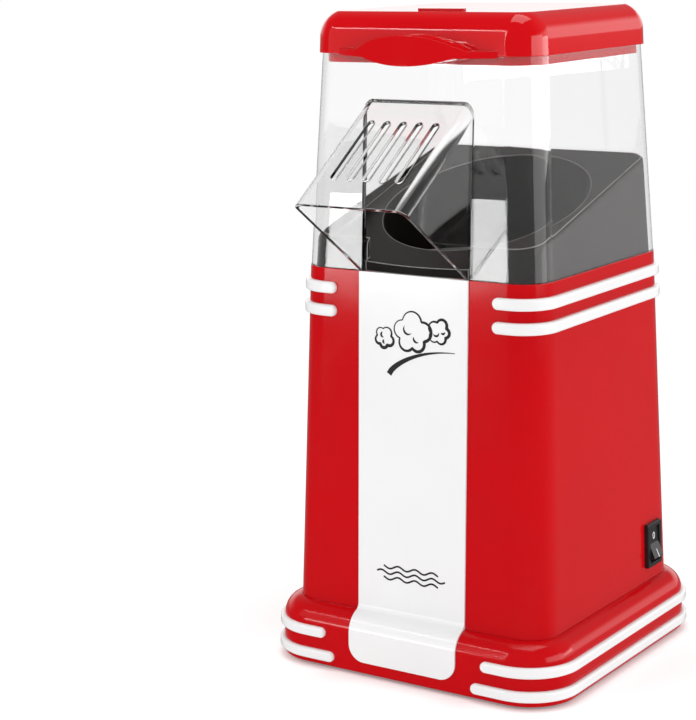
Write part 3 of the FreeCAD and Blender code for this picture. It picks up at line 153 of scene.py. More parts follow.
class Paint(Tree):
    """A material's tree with the patterns that the finishes share. Scales are per metre."""

    def __init__(self, name: str) -> None:
        """Starts an empty material.

        Args:
            name: The material's name.
        """
        material = bpy.data.materials.new(name)
        material.use_nodes = True
        super().__init__(material.node_tree)
        self.nodes.nodes.clear()
        self.place = self.node("ShaderNodeTexCoord").outputs["Object"]

    def centred(self, centre: Vector, squeeze: Sequence[float] = (1, 1, 1)) -> NodeSocket:
        """Object coordinates with their zero at a point, stretched by a factor along each axis."""
        shift = [-c * s for c, s in zip(centre, squeeze)]
        return self.node("ShaderNodeMapping", {}, {"Vector": self.place, "Location": shift,
                                                   "Scale": tuple(squeeze)}).outputs[0]

    def noise(self, scale: float, detail: float = 2.0, rough: float = 0.5,
              place: NodeSocket | None = None) -> Field:
        """Soft noise from 0 to 1."""
        node = self.node("ShaderNodeTexNoise", {}, {"Vector": place or self.place, "Scale": scale,
                                                    "Detail": detail, "Roughness": rough})
        return Field(self, node.outputs[0])

    def cells(self, scale: float, place: NodeSocket | None = None) -> Field:
        """Distance to the nearest cell point."""
        node = self.node("ShaderNodeTexVoronoi", {"feature": "F1"},
                         {"Vector": place or self.place, "Scale": scale})
        return Field(self, node.outputs["Distance"])

    def waves(self, scale: float, kind: Wave, axis: str, wobble: float,
              place: NodeSocket | None = None) -> Field:
        """Parallel bands or rings from 0 to 1."""
        node = self.node("ShaderNodeTexWave", {"wave_type": kind.name, kind.value: axis},
                         {"Vector": place or self.place, "Scale": scale, "Distortion": wobble,
                          "Detail": 2.0, "Detail Scale": 2.0})
        return Field(self, node.outputs["Fac"])

    def mix(self, factor: Field | float, first: Colour | NodeSocket,
            second: Colour) -> NodeSocket:
        """Blends two colours.

        Args:
            factor: 0 for the first colour, 1 for the second.
            first: A colour, or a link to one.
            second: The other colour.

        Returns:
            The blend.
        """
        start = (*first, 1.0) if isinstance(first, tuple) else first
        node = self.node("ShaderNodeMix", {"data_type": "RGBA"},
                         {0: factor, 6: start, 7: (*second, 1.0)})
        return node.outputs[2]

    def soft_edge(self, radius_mm: float) -> NodeSocket:
        """A normal that rounds sharp edges."""
        return self.node("ShaderNodeBevel", {"samples": 6}, {"Radius": radius_mm * MM}).outputs[0]

    def edges(self, radius_mm: float, low: float = 0.02, high: float = 0.16) -> Field:
        """Finds sharp edges.

        Args:
            radius_mm: How far from an edge it looks.
            low: How much the normal turns where an edge begins to show.
            high: How much it turns where the edge shows in full.

        Returns:
            1 along sharp edges and 0 away from them.
        """
        flat = self.node("ShaderNodeNewGeometry").outputs["Normal"]
        turn = self.node("ShaderNodeVectorMath", {"operation": "DOT_PRODUCT"},
                         {0: self.soft_edge(radius_mm), 1: flat})
        return (1.0 - Field(self, turn.outputs["Value"])).ramp(low, high)

    def bump(self, height: Field, depth_mm: float, below: NodeSocket | None = None) -> NodeSocket:
        """Makes a normal from a height pattern.

        Args:
            height: The pattern, from 0 to 1.
            depth_mm: Its full step.
            below: The normal that it is laid on, if not the surface's own.

        Returns:
            The normal.
        """
        sockets = {"Height": height, "Distance": depth_mm * MM, "Strength": 1.0}
        if below is not None:
            sockets["Normal"] = below
        return self.node("ShaderNodeBump", {}, sockets).outputs[0]

    def principled(self, sockets: dict) -> NodeSocket:
        """Adds the surface shader and returns its link."""
        return self.node("ShaderNodeBsdfPrincipled", {}, sockets).outputs[0]

    def finish(self, sockets: dict) -> None:
        """Ends the material with the surface shader alone."""
        self.output(self.principled(sockets))

    def output(self, shader: NodeSocket) -> None:
        """Ends the material."""
        self.node("ShaderNodeOutputMaterial", {}, {"Surface": shader})

    def blend(self, factor: Field | NodeSocket, first: NodeSocket, second: NodeSocket) -> None:
        """Ends the material with a mix of two shaders."""
        mix = self.node("ShaderNodeMixShader", {}, {0: factor, 1: first, 2: second})
        self.output(mix.outputs[0])


# --- Finishes. The scales of their patterns are per metre ---
@dataclass(frozen=True)
class GlossShell:
    """Polished ABS: flow ripple, a few hazy patches, fine dust and softened edges."""

    name: str
    colour: Colour
    deep: Colour
    roughness: float = 0.1
    edge_mm: float = 0.5
    coat: float = 0.3
    specular: float = 0.4
    clouds: float = 14.0
    ripples: Point = (60.0, 420.0)
    ripple_mm: float = 0.05
    haze: float = 28.0
    dust: float = 2600.0

    def make(self) -> None:
        """Builds the material."""
        p = Paint(self.name)
        wide, fine = self.ripples
        ripple = p.noise(wide, 1.0) * 0.8 + p.noise(fine, 2.0) * 0.2
        haze = p.noise(self.haze, 4.0, 0.6).ramp(0.35, 0.8)
        dust = p.noise(self.dust, 1.0).ramp(0.70, 0.78)
        clouds = p.noise(self.clouds, 3.0).ramp(0.25, 0.75)
        p.finish({
            "Base Color": p.mix(clouds, self.colour, self.deep),
            "Roughness": self.roughness * (haze * 0.6 + 1.0) + dust * 0.1,
            "Specular IOR Level": self.specular, "Coat Weight": self.coat, "Coat Roughness": 0.04,
            "Normal": p.bump(ripple, self.ripple_mm, p.soft_edge(self.edge_mm))})


@dataclass(frozen=True)
class SatinMoulding:
    """Moulded plastic with a fine spark-eroded grain and slightly polished patches."""

    name: str
    colour: Colour
    worn: Colour
    roughness: float = 0.38
    grain: float = 1500.0
    grain_mm: float = 0.02
    patches: float = 35.0
    edge_mm: float = 0.5

    def make(self) -> None:
        """Builds the material."""
        p = Paint(self.name)
        patches = p.noise(self.patches, 4.0, 0.6).ramp(0.3, 0.75)
        grain = p.noise(self.grain, 2.0)
        p.finish({
            "Base Color": p.mix(patches * 0.7 + grain * 0.3, self.colour, self.worn),
            "Roughness": self.roughness + patches * 0.08 - grain * 0.05,
            "Specular IOR Level": 0.45,
            "Normal": p.bump(grain, self.grain_mm, p.soft_edge(self.edge_mm))})


@dataclass(frozen=True)
class ChuteMoulding:
    """Smooth dark moulding with rougher flanks painted lighter, and a painted highlight along its
    sharp edges.
    """

    name: str
    colour: Colour
    # painted light: the colour of the outermost sides, lighter to stand in for light from the right
    # and haze that the clear wall reflects
    painted_lit_flank: Colour
    # painted highlight: the colour laid along sharp edges, standing in for the light they catch
    edge: Colour
    wall: float = 0.001
    roughness: float = 0.3
    grain: float = 1500.0
    grain_mm: float = 0.004
    patches: float = 30.0
    worn: float = 1.4
    # how far from a sharp edge the painted highlight reaches
    painted_highlight_mm: float = 0.8
    edge_mm: float = 0.7

    def make(self) -> None:
        """Builds the material. The flanks are what lies within the wall of the outermost sides."""
        low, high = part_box("chute_insert")
        p = Paint(self.name)
        grain = p.noise(self.grain, 2.0)
        patches = p.noise(self.patches, 4.0, 0.6).ramp(0.3, 0.75)
        place = p.node("ShaderNodeSeparateXYZ", {}, {0: p.place})
        x, z = (Field(p, place.outputs[axis]) for axis in "XZ")
        out = x * (x > 0.0) - x * (1.0 - (x > 0.0)) + (z - low.z) * HOUSING_LEAN
        # the outermost sides are painted lighter as if lit from the right, and are also made
        # rougher
        painted_lit_flank = (out > high.x - self.wall) * (1.0 - grain * 0.2)
        smoothed = p.mix(patches * 0.6, self.colour, tuple(self.worn * c for c in self.colour))
        faces = p.mix(painted_lit_flank, smoothed, self.painted_lit_flank)
        p.finish({
            # painted highlight: sharp edges are coloured light
            "Base Color": p.mix(p.edges(self.painted_highlight_mm) * 0.9, faces, self.edge),
            "Roughness": self.roughness + painted_lit_flank * 0.15 + patches * 0.06,
            "Specular IOR Level": 0.07,
            "Normal": p.bump(grain, self.grain_mm, p.soft_edge(self.edge_mm))})


@dataclass(frozen=True)
class ClearShell:
    """Clear polycarbonate that lets lamp light through, with faint flow lines and wiping marks."""

    name: str
    colour: Colour = (1.0, 1.0, 1.0)
    shade: Colour = (0.96, 0.96, 0.96)
    ior: float = 1.5
    flow: float = 30.0
    flow_mm: float = 0.05
    wiping: float = 300.0
    edge_mm: float = 0.6

    def make(self) -> None:
        """Builds the material."""
        p = Paint(self.name)
        flow = p.noise(self.flow, 1.0, 0.5, p.centred(Vector(), (1, 1, 0.25)))
        wiped = p.noise(self.wiping, 3.0, 0.5, p.centred(Vector(), (0.3, 0.3, 1.0)))
        glass = p.principled({
            "Base Color": (*self.colour, 1.0), "Roughness": wiped.ramp(0.62, 0.8) * 0.03,
            "IOR": self.ior, "Transmission Weight": 1.0,
            "Normal": p.bump(flow, self.flow_mm, p.soft_edge(self.edge_mm))})
        open_way = p.node("ShaderNodeBsdfTransparent", {}, {"Color": (*self.shade, 1.0)})
        shadow = p.node("ShaderNodeLightPath").outputs["Is Shadow Ray"]
        p.blend(shadow, glass, open_way.outputs[0])


@dataclass(frozen=True)
class RubberSkin:
    """Matt rubber with a pebbled skin and a pale bloom."""

    name: str
    colour: Colour
    bloom: Colour
    roughness: float = 0.75
    pebbles: float = 900.0
    pebble_mm: float = 0.06
    clouds: float = 120.0
    edge_mm: float = 0.3

    def make(self) -> None:
        """Builds the material."""
        p = Paint(self.name)
        cloud = p.noise(self.clouds, 4.0, 0.6).ramp(0.35, 0.8)
        p.finish({
            "Base Color": p.mix(cloud, self.colour, self.bloom),
            "Roughness": self.roughness + cloud * 0.12, "Specular IOR Level": 0.35,
            "Normal": p.bump(p.cells(self.pebbles), self.pebble_mm, p.soft_edge(self.edge_mm))})


@dataclass(frozen=True)
class SpunMetal:
    """Sheet metal turned on a lathe: fine rings round an upright axis and faint smears."""

    name: str
    colour: Colour
    axis: tuple[float, float, float]
    roughness: float = 0.28
    rings: float = 900.0
    bands: float = 700.0
    ring_mm: float = 0.02
    smears: float = 45.0
    smeared: float = 0.72
    edge_mm: float = 0.3

    def make(self) -> None:
        """Builds the material."""
        p = Paint(self.name)
        rings = (p.waves(self.rings, Wave.RINGS, "Z", 0.4, p.centred(Vector(self.axis))) * 0.5
                 + p.waves(self.bands, Wave.BANDS, "Z", 0.5) * 0.5)
        smear = p.noise(self.smears, 4.0, 0.6).ramp(0.3, 0.8)
        dull = tuple(c * self.smeared for c in self.colour)
        p.finish({
            "Base Color": p.mix(smear * 0.6, self.colour, dull), "Metallic": 1.0,
            "Roughness": self.roughness + smear * 0.12 + rings * 0.05,
            "Normal": p.bump(rings, self.ring_mm, p.soft_edge(self.edge_mm))})


@dataclass(frozen=True)
class PlatedMetal:
    """Plated steel or bronze: crystal patches, rolling lines, dull spots and bright edges."""

    name: str
    colour: Colour
    dull: Colour
    roughness: float = 0.32
    patch: float = 220.0
    lines: float = 1100.0
    line_mm: float = 0.015
    edge_mm: float = 0.2

    def make(self) -> None:
        """Builds the material."""
        p = Paint(self.name)
        crystal = p.cells(self.patch)
        rolled = p.noise(self.lines, 2.0, 0.5, p.centred(Vector(), (1, 0.08, 1)))
        spots = p.noise(self.patch * 0.4, 5.0, 0.65).ramp(0.5, 0.85)
        p.finish({
            "Base Color": p.mix(crystal.ramp(0.1, 0.8) * 0.4 + spots * 0.6, self.colour, self.dull),
            "Metallic": 1.0 - spots * 0.25,
            "Roughness": self.roughness + crystal * 0.12 + spots * 0.2,
            "Normal": p.bump(rolled * 0.6 + crystal * 0.4, self.line_mm,
                             p.soft_edge(self.edge_mm))})


@dataclass(frozen=True)
class FlakedBoard:
    """Layered or fibrous board: flakes, fibres and darker specks."""

    name: str
    colour: Colour
    dark: Colour
    roughness: float = 0.6
    flake: float = 260.0
    flake_mm: float = 0.05
    edge_mm: float = 0.2

    def make(self) -> None:
        """Builds the material."""
        p = Paint(self.name)
        flakes = p.cells(self.flake, p.centred(Vector(), (1, 1, 2.2)))
        fibres = p.noise(self.flake * 4, 3.0, 0.6, p.centred(Vector(), (1, 0.15, 0.6)))
        p.finish({
            "Base Color": p.mix(flakes.ramp(0.1, 0.9) * 0.6 + fibres * 0.4, self.colour, self.dark),
            "Roughness": self.roughness - flakes * 0.15,
            "Normal": p.bump(flakes + fibres * 0.4, self.flake_mm, p.soft_edge(self.edge_mm))})


@dataclass(frozen=True)
class WoundWire:
    """Enamelled or oxidised wire: fine parallel turns with a colour that drifts."""

    name: str
    colour: Colour
    dark: Colour
    axis: str = "Z"
    turns: float = 900.0
    roughness: float = 0.3
    turn_mm: float = 0.15
    drift: float = 90.0

    def make(self) -> None:
        """Builds the material."""
        p = Paint(self.name)
        turns = p.waves(self.turns, Wave.BANDS, self.axis, 0.3)
        drift = p.noise(self.drift, 4.0, 0.6)
        p.finish({
            "Base Color": p.mix(drift * 0.6 + (1 - turns) * 0.4, self.colour, self.dark),
            "Metallic": 0.9, "Roughness": self.roughness + drift * 0.2,
            "Normal": p.bump(turns, self.turn_mm)})


@dataclass(frozen=True)
class PrintInk:
    """Pad-printed ink with fine pinholes and a soft sheen."""

    name: str
    colour: Colour
    roughness: float = 0.35
    pinholes: float = 4200.0
    sheen: float = 900.0
    sheen_mm: float = 0.01
    lighter: float = 0.05

    def make(self) -> None:
        """Builds the material."""
        p = Paint(self.name)
        holes = p.noise(self.pinholes, 2.0).ramp(0.66, 0.74)
        p.finish({
            "Base Color": p.mix(holes, self.colour, tuple(c + self.lighter for c in self.colour)),
            "Roughness": self.roughness + holes * 0.3, "Specular IOR Level": 0.3,
            "Normal": p.bump(p.noise(self.sheen, 2.0), self.sheen_mm)})


@dataclass(frozen=True)
class StudioPaper:
    """Pale seamless paper that fades into the white of the room and hides nothing above it."""

    name: str
    colour: Colour
    fade: Point = (0.5, 1.3)
    glow: float = 0.14
    fibres: float = 160.0
    fibre_mm: float = 0.02
    fibre_shade: float = 0.985

    def make(self) -> None:
        """Builds the material."""
        p = Paint(self.name)
        fibre = p.noise(self.fibres, 5.0, 0.6)
        shaded = tuple(c * self.fibre_shade for c in self.colour)
        paper = p.principled({
            "Base Color": p.mix(fibre * 0.25, self.colour, shaded), "Roughness": 0.95,
            "Specular IOR Level": 0.1, "Normal": p.bump(fibre, self.fibre_mm),
            "Emission Color": (1.0, 1.0, 1.0, 1.0), "Emission Strength": self.glow})
        distance = p.node("ShaderNodeVectorMath", {"operation": "LENGTH"}, {0: p.place})
        away = Field(p, distance.outputs["Value"]).ramp(*self.fade)
        below = Field(p, p.node("ShaderNodeNewGeometry").outputs["Backfacing"])
        gone = p.node("ShaderNodeBsdfTransparent")
        p.blend(away + below * (1.0 - away), paper, gone.outputs[0])


class Finish(Enum):
    """The object's finishes, one for each material slot and a few for printed marks."""

    RED = GlossShell("finish_red_shell", (0.54, 0.0035, 0.0065), (0.51, 0.003, 0.0058),
                     roughness=0.1, edge_mm=0.6, coat=0.0, specular=0.35)
    LID = GlossShell("finish_lid", (0.62, 0.004, 0.0075), (0.585, 0.0035, 0.0065),
                     roughness=0.035, edge_mm=0.6, coat=0.1, specular=0.5)
    WHITE = GlossShell("finish_white_trim", (0.85, 0.85, 0.85), (0.82, 0.82, 0.825),
                       roughness=0.14)
    CLEAR = ClearShell("finish_clear_shell")
    # dark insert: its second colour paints the flanks lighter as if lit, its third paints a
    # highlight on sharp edges
    INSERT = ChuteMoulding("finish_dark_insert", (0.009, 0.008, 0.0072), (0.085, 0.08, 0.079),
                           (0.70, 0.69, 0.68))
    SWITCH = SatinMoulding("finish_switch", (0.012, 0.011, 0.011), (0.02, 0.019, 0.019),
                           roughness=0.28, grain=2200.0, grain_mm=0.01, edge_mm=0.25)
    DUCT = SatinMoulding("finish_duct_plastic", (0.03, 0.026, 0.023), (0.045, 0.04, 0.036),
                         roughness=0.5)
    RUBBER = RubberSkin("finish_foot_rubber", (0.02, 0.02, 0.02), (0.045, 0.044, 0.043))
    SILICONE = RubberSkin("finish_silicone", (0.62, 0.6, 0.55), (0.72, 0.7, 0.66), roughness=0.45)
    CHAMBER = SpunMetal("finish_chamber", (0.78, 0.78, 0.79), (0.0, 0.0177, 0.0))
    SHEET = PlatedMetal("finish_sheet_steel", (0.62, 0.63, 0.65), (0.42, 0.43, 0.45))
    SCREW = PlatedMetal("finish_screw_steel", (0.6, 0.58, 0.54), (0.4, 0.38, 0.33),
                        roughness=0.28, patch=900.0)
    BRONZE = PlatedMetal("finish_bronze", (0.6, 0.43, 0.2), (0.36, 0.24, 0.1), roughness=0.35,
                         patch=700.0)
    HEATER = WoundWire("finish_heater_wire", (0.35, 0.33, 0.32), (0.14, 0.12, 0.15), axis="X",
                       turns=40.0, roughness=0.4)
    COPPER = WoundWire("finish_copper", (0.66, 0.27, 0.11), (0.4, 0.13, 0.05))
    MICA = FlakedBoard("finish_mica", (0.55, 0.5, 0.38), (0.32, 0.27, 0.18))
    BOARD = FlakedBoard("finish_board", (0.2, 0.12, 0.045), (0.12, 0.07, 0.028), roughness=0.5,
                        flake=500.0)
    MAGNET = FlakedBoard("finish_magnet", (0.05, 0.05, 0.055), (0.02, 0.02, 0.022), roughness=0.7,
                         flake=700.0)
    COMPONENT = SatinMoulding("finish_component", (0.02, 0.02, 0.02), (0.035, 0.035, 0.035),
                              roughness=0.3, grain=2600.0, grain_mm=0.01, edge_mm=0.15)
    LEAD = RubberSkin("finish_lead_cover", (0.7, 0.69, 0.64), (0.8, 0.79, 0.75), roughness=0.5)
    INK = PrintInk("finish_print_ink", (0.012, 0.012, 0.013))
    MARK = PrintInk("finish_switch_mark", (0.72, 0.72, 0.7))
    PAPER = StudioPaper("finish_studio_paper", (0.95, 0.95, 0.95))

    def material(self) -> Material:
        """The finish's material, made once."""
        if self.value.name not in bpy.data.materials:
            self.value.make()
        return bpy.data.materials[self.value.name]


# --- Mesh helpers ---
def link(name: str, data: bpy.types.ID) -> Object:
    """Makes an object of some data and puts it in the scene.

    Args:
        name: The object's name.
        data: Its mesh, lamp or camera.

    Returns:
        The new object, at the origin.
    """
    thing = bpy.data.objects.new(name, data)
    bpy.context.scene.collection.objects.link(thing)
    return thing


def new_piece(name: str, vertices: Sequence[Sequence[float]], faces: Sequence[Sequence[int]],
              finish: Finish) -> Object:
    """Makes a mesh object at the origin, with its faces pointing outwards.

    Args:
        name: The piece's name.
        vertices: Its points, in metres.
        faces: Its faces, as indices of points.
        finish: What it is made of.

    Returns:
        The new object.
    """
    mesh = bpy.data.meshes.new(name)
    mesh.from_pydata([tuple(v) for v in vertices], [], [tuple(f) for f in faces])
    work = bmesh.new()
    work.from_mesh(mesh)
    bmesh.ops.remove_doubles(work, verts=work.verts, dist=1e-6)
    bmesh.ops.recalc_face_normals(work, faces=work.faces)
    work.to_mesh(mesh)
    work.free()
    mesh.materials.append(finish.material())
    return link(name, mesh)


def smooth(piece: Object, degrees: float) -> None:
    """Shades a piece smooth, with edges sharper than an angle kept sharp."""
    piece.data.shade_smooth()
    piece.data.set_sharp_from_angle(angle=math.radians(degrees))


def ring_faces(rings: int, sides: int) -> list[list[int]]:
    """Faces between rings of points, each ring joined to the one after it."""
    return [[i * sides + k, i * sides + (k + 1) % sides, (i + 1) * sides + (k + 1) % sides,
             (i + 1) * sides + k] for i in range(rings - 1) for k in range(sides)]


def lathe(profile: Sequence[Point], sides: int) -> tuple[list[Vector], list[list[int]]]:
    """Turns a closed outline round the Z axis.

    Args:
        profile: The outline's (radius, height) points. Points on the axis become poles.
        sides: Steps round the axis.

    Returns:
        Points and faces.
    """
    turns = [2 * math.pi * k / sides for k in range(sides)]
    points = [Vector((radius * math.cos(turn), radius * math.sin(turn), height))
              for radius, height in profile for turn in turns]
    return points, ring_faces(len(profile), sides)


def lay_marks(name: str, node: str, patches: Sequence[Sequence[Vector]], inwards: Vector,
              proud: float, finish: Finish) -> Object:
    """Lays four-cornered patches on a CAD node's face as a thin raised layer.

    Args:
        name: The layer's name.
        node: The node that it lies on.
        patches: The patches' corners, outside the face.
        inwards: The way from them to the face.
        proud: How far the layer stands out of the face.
        finish: What it is made of.

    Returns:
        The layer.

    Raises:
        ValueError: A mark lies beside its face.
    """
    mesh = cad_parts[node].data
    mesh.calc_loop_triangles()
    surface = BVHTree.FromPolygons([v.co for v in mesh.vertices],
                                   [tuple(t.vertices) for t in mesh.loop_triangles])
    points, faces = [], []
    for patch in patches:
        at = len(points)
        under, over = [], []
        for corner in patch:
            spot, normal, _, _ = surface.ray_cast(corner, inwards)
            if spot is None:
                raise ValueError(f"a mark lies beside {node}")
            out = normal if normal.dot(inwards) < 0 else -normal
            under.append(spot - out * proud * MARK_SUNK)
            over.append(spot + out * proud)
        points += under + over
        faces += [[at + 3, at + 2, at + 1, at], [at + 4, at + 5, at + 6, at + 7]]
        faces += [[at + k, at + (k + 1) % 4, at + 4 + (k + 1) % 4, at + 4 + k] for k in range(4)]
    return new_piece(name, points, faces, finish)


# --- Repeated pieces, with Geometry Nodes ---
class Pattern(Tree):
    """A Geometry Nodes tree with named inputs that becomes a plain mesh."""

    def __init__(self, name: str) -> None:
        """Starts an empty tree.

        Args:
            name: The tree's name.
        """
        group = bpy.data.node_groups.new(name, "GeometryNodeTree")
        group.is_modifier = True
        super().__init__(group)
        group.interface.new_socket("Geometry", in_out="OUTPUT", socket_type="NodeSocketGeometry")
        self.entry = group.nodes.new("NodeGroupInput")
        self.values: dict[str, object] = {}

    def size(self, name: str, value: object, kind: str = "NodeSocketFloat") -> Field:
        """Adds a named input with its value.

        Args:
            name: The input's name.
            value: What the modifier sets it to.
            kind: Its socket's type.

        Returns:
            The input's socket.
        """
        socket = self.nodes.interface.new_socket(name, in_out="INPUT", socket_type=kind)
        self.values[socket.identifier] = value
        return Field(self, self.entry.outputs[name])

    def place_copies(self, points: NodeSocket, original: Object, centre: Vector,
                     turn: Field | None = None) -> NodeSocket:
        """Puts a piece on each point.

        Args:
            points: Where the copies go, round the centre.
            original: The piece.
            centre: How far all of them are moved.
            turn: How far each is turned about Z, if at all.

        Returns:
            The copies.
        """
        source = self.node("GeometryNodeObjectInfo", {"transform_space": "ORIGINAL"}, {
            "Object": self.size("Piece", original, "NodeSocketObject"), "As Instance": True})
        sockets = {"Points": points, "Instance": source.outputs["Geometry"]}
        if turn is not None:
            spin = self.node("ShaderNodeCombineXYZ", {}, {"Z": turn})
            sockets["Rotation"] = self.node("FunctionNodeEulerToRotation", {},
                                            {0: spin.outputs[0]}).outputs[0]
        return self.move(self.node("GeometryNodeInstanceOnPoints", {}, sockets), centre)

    def move(self, made: Node, centre: Vector) -> NodeSocket:
        """Moves what a node made to a named centre."""
        place = self.size("Centre", tuple(centre), "NodeSocketVector")
        return self.node("GeometryNodeTransform", {}, {"Geometry": made.outputs[0],
                                                       "Translation": place}).outputs[0]

    def make(self, name: str, geometry: NodeSocket, finish: Finish) -> Object:
        """Ends the tree, runs it and clears away the pieces that it copied.

        Args:
            name: The new piece's name.
            geometry: What the tree made.
            finish: What the piece is made of.

        Returns:
            The piece, a plain mesh at the origin.
        """
        real = self.node("GeometryNodeRealizeInstances", {}, {"Geometry": geometry})
        dressed = self.node("GeometryNodeSetMaterial", {}, {"Geometry": real.outputs[0],
                                                            "Material": finish.material()})
        self.node("NodeGroupOutput", {}, {0: dressed.outputs[0]})
        carrier = link(name + "_carrier", bpy.data.meshes.new(name + "_carrier"))
        modifier = carrier.modifiers.new("pattern", "NODES")
        modifier.node_group = self.nodes
        for identifier, value in self.values.items():
            modifier[identifier] = value
        depsgraph = bpy.context.evaluated_depsgraph_get()
        mesh = bpy.data.meshes.new_from_object(carrier.evaluated_get(depsgraph))
        carrier.modifiers.remove(modifier)
        originals = [value for value in self.values.values() if isinstance(value, Object)]
        for spent in (carrier, *originals):
            bpy.data.objects.remove(spent)
        mesh.name = name
        return link(name, mesh)


def on_corners(name: str, original: Object, half: Point, centre: Vector, finish: Finish) -> Object:
    """Copies of a piece on the four corners of a rectangle.

    Args:
        name: The set's name.
        original: The piece, which is used up.
        half: Half the rectangle's length and width.
        centre: Its middle.
        finish: What the set is made of.

    Returns:
        The set.
    """
    pattern = Pattern(name + "_pattern")
    grid = pattern.node("GeometryNodeMeshGrid", {}, {
        "Size X": pattern.size("Length", 2 * half[0]), "Size Y": pattern.size("Width", 2 * half[1]),
        "Vertices X": 2, "Vertices Y": 2}).outputs[0]
    return pattern.make(name, pattern.place_copies(grid, original, centre), finish)


def round_circle(name: str, original: Object, count: int, radius: float, start: float,
                 centre: Vector, finish: Finish) -> Object:
    """Copies of a piece round an upright axis, each turned to face out.

    Args:
        name: The set's name.
        original: The piece, which is used up.
        count: How many copies.
        radius: The circle's.
        start: The first copy's angle from +X, in radians.
        centre: The circle's.
        finish: What the set is made of.

    Returns:
        The set.
    """
    pattern = Pattern(name + "_pattern")
    copies = pattern.size("Copies", count, "NodeSocketInt")
    angle = pattern.size("First angle", start)
    index = Field(pattern, pattern.node("GeometryNodeInputIndex").outputs[0])
    turn = index / copies * (2 * math.pi) + angle
    reach = pattern.size("Radius", radius)
    spot = pattern.node("ShaderNodeCombineXYZ", {}, {"X": turn.cosine() * reach,
                                                     "Y": turn.sine() * reach}).outputs[0]
    points = pattern.node("GeometryNodePoints", {}, {"Count": copies, "Position": spot}).outputs[0]
    return pattern.make(name, pattern.place_copies(points, original, centre, turn), finish)


# --- Sub-assemblies ---
@dataclass
class SubAssembly:
    """Pieces that belong together: CAD nodes to dress, and pieces to add."""

    finishes: ClassVar[dict[Finish, tuple[str, ...]]] = {}

    def build(self) -> None:
        """Dresses the CAD nodes and adds the rest, reporting each."""
        for finish, nodes in self.finishes.items():
            for node in nodes:
                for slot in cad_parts[node].material_slots:
                    slot.material = finish.material()
                LOG.info("%s dressed with %s", node, finish.value.name)
        for piece in self.pieces():
            LOG.info("%s made", piece.name)

    def pieces(self) -> list[Object]:
        """Makes what the CAD nodes leave out, which is nothing unless a class says so."""
        return []


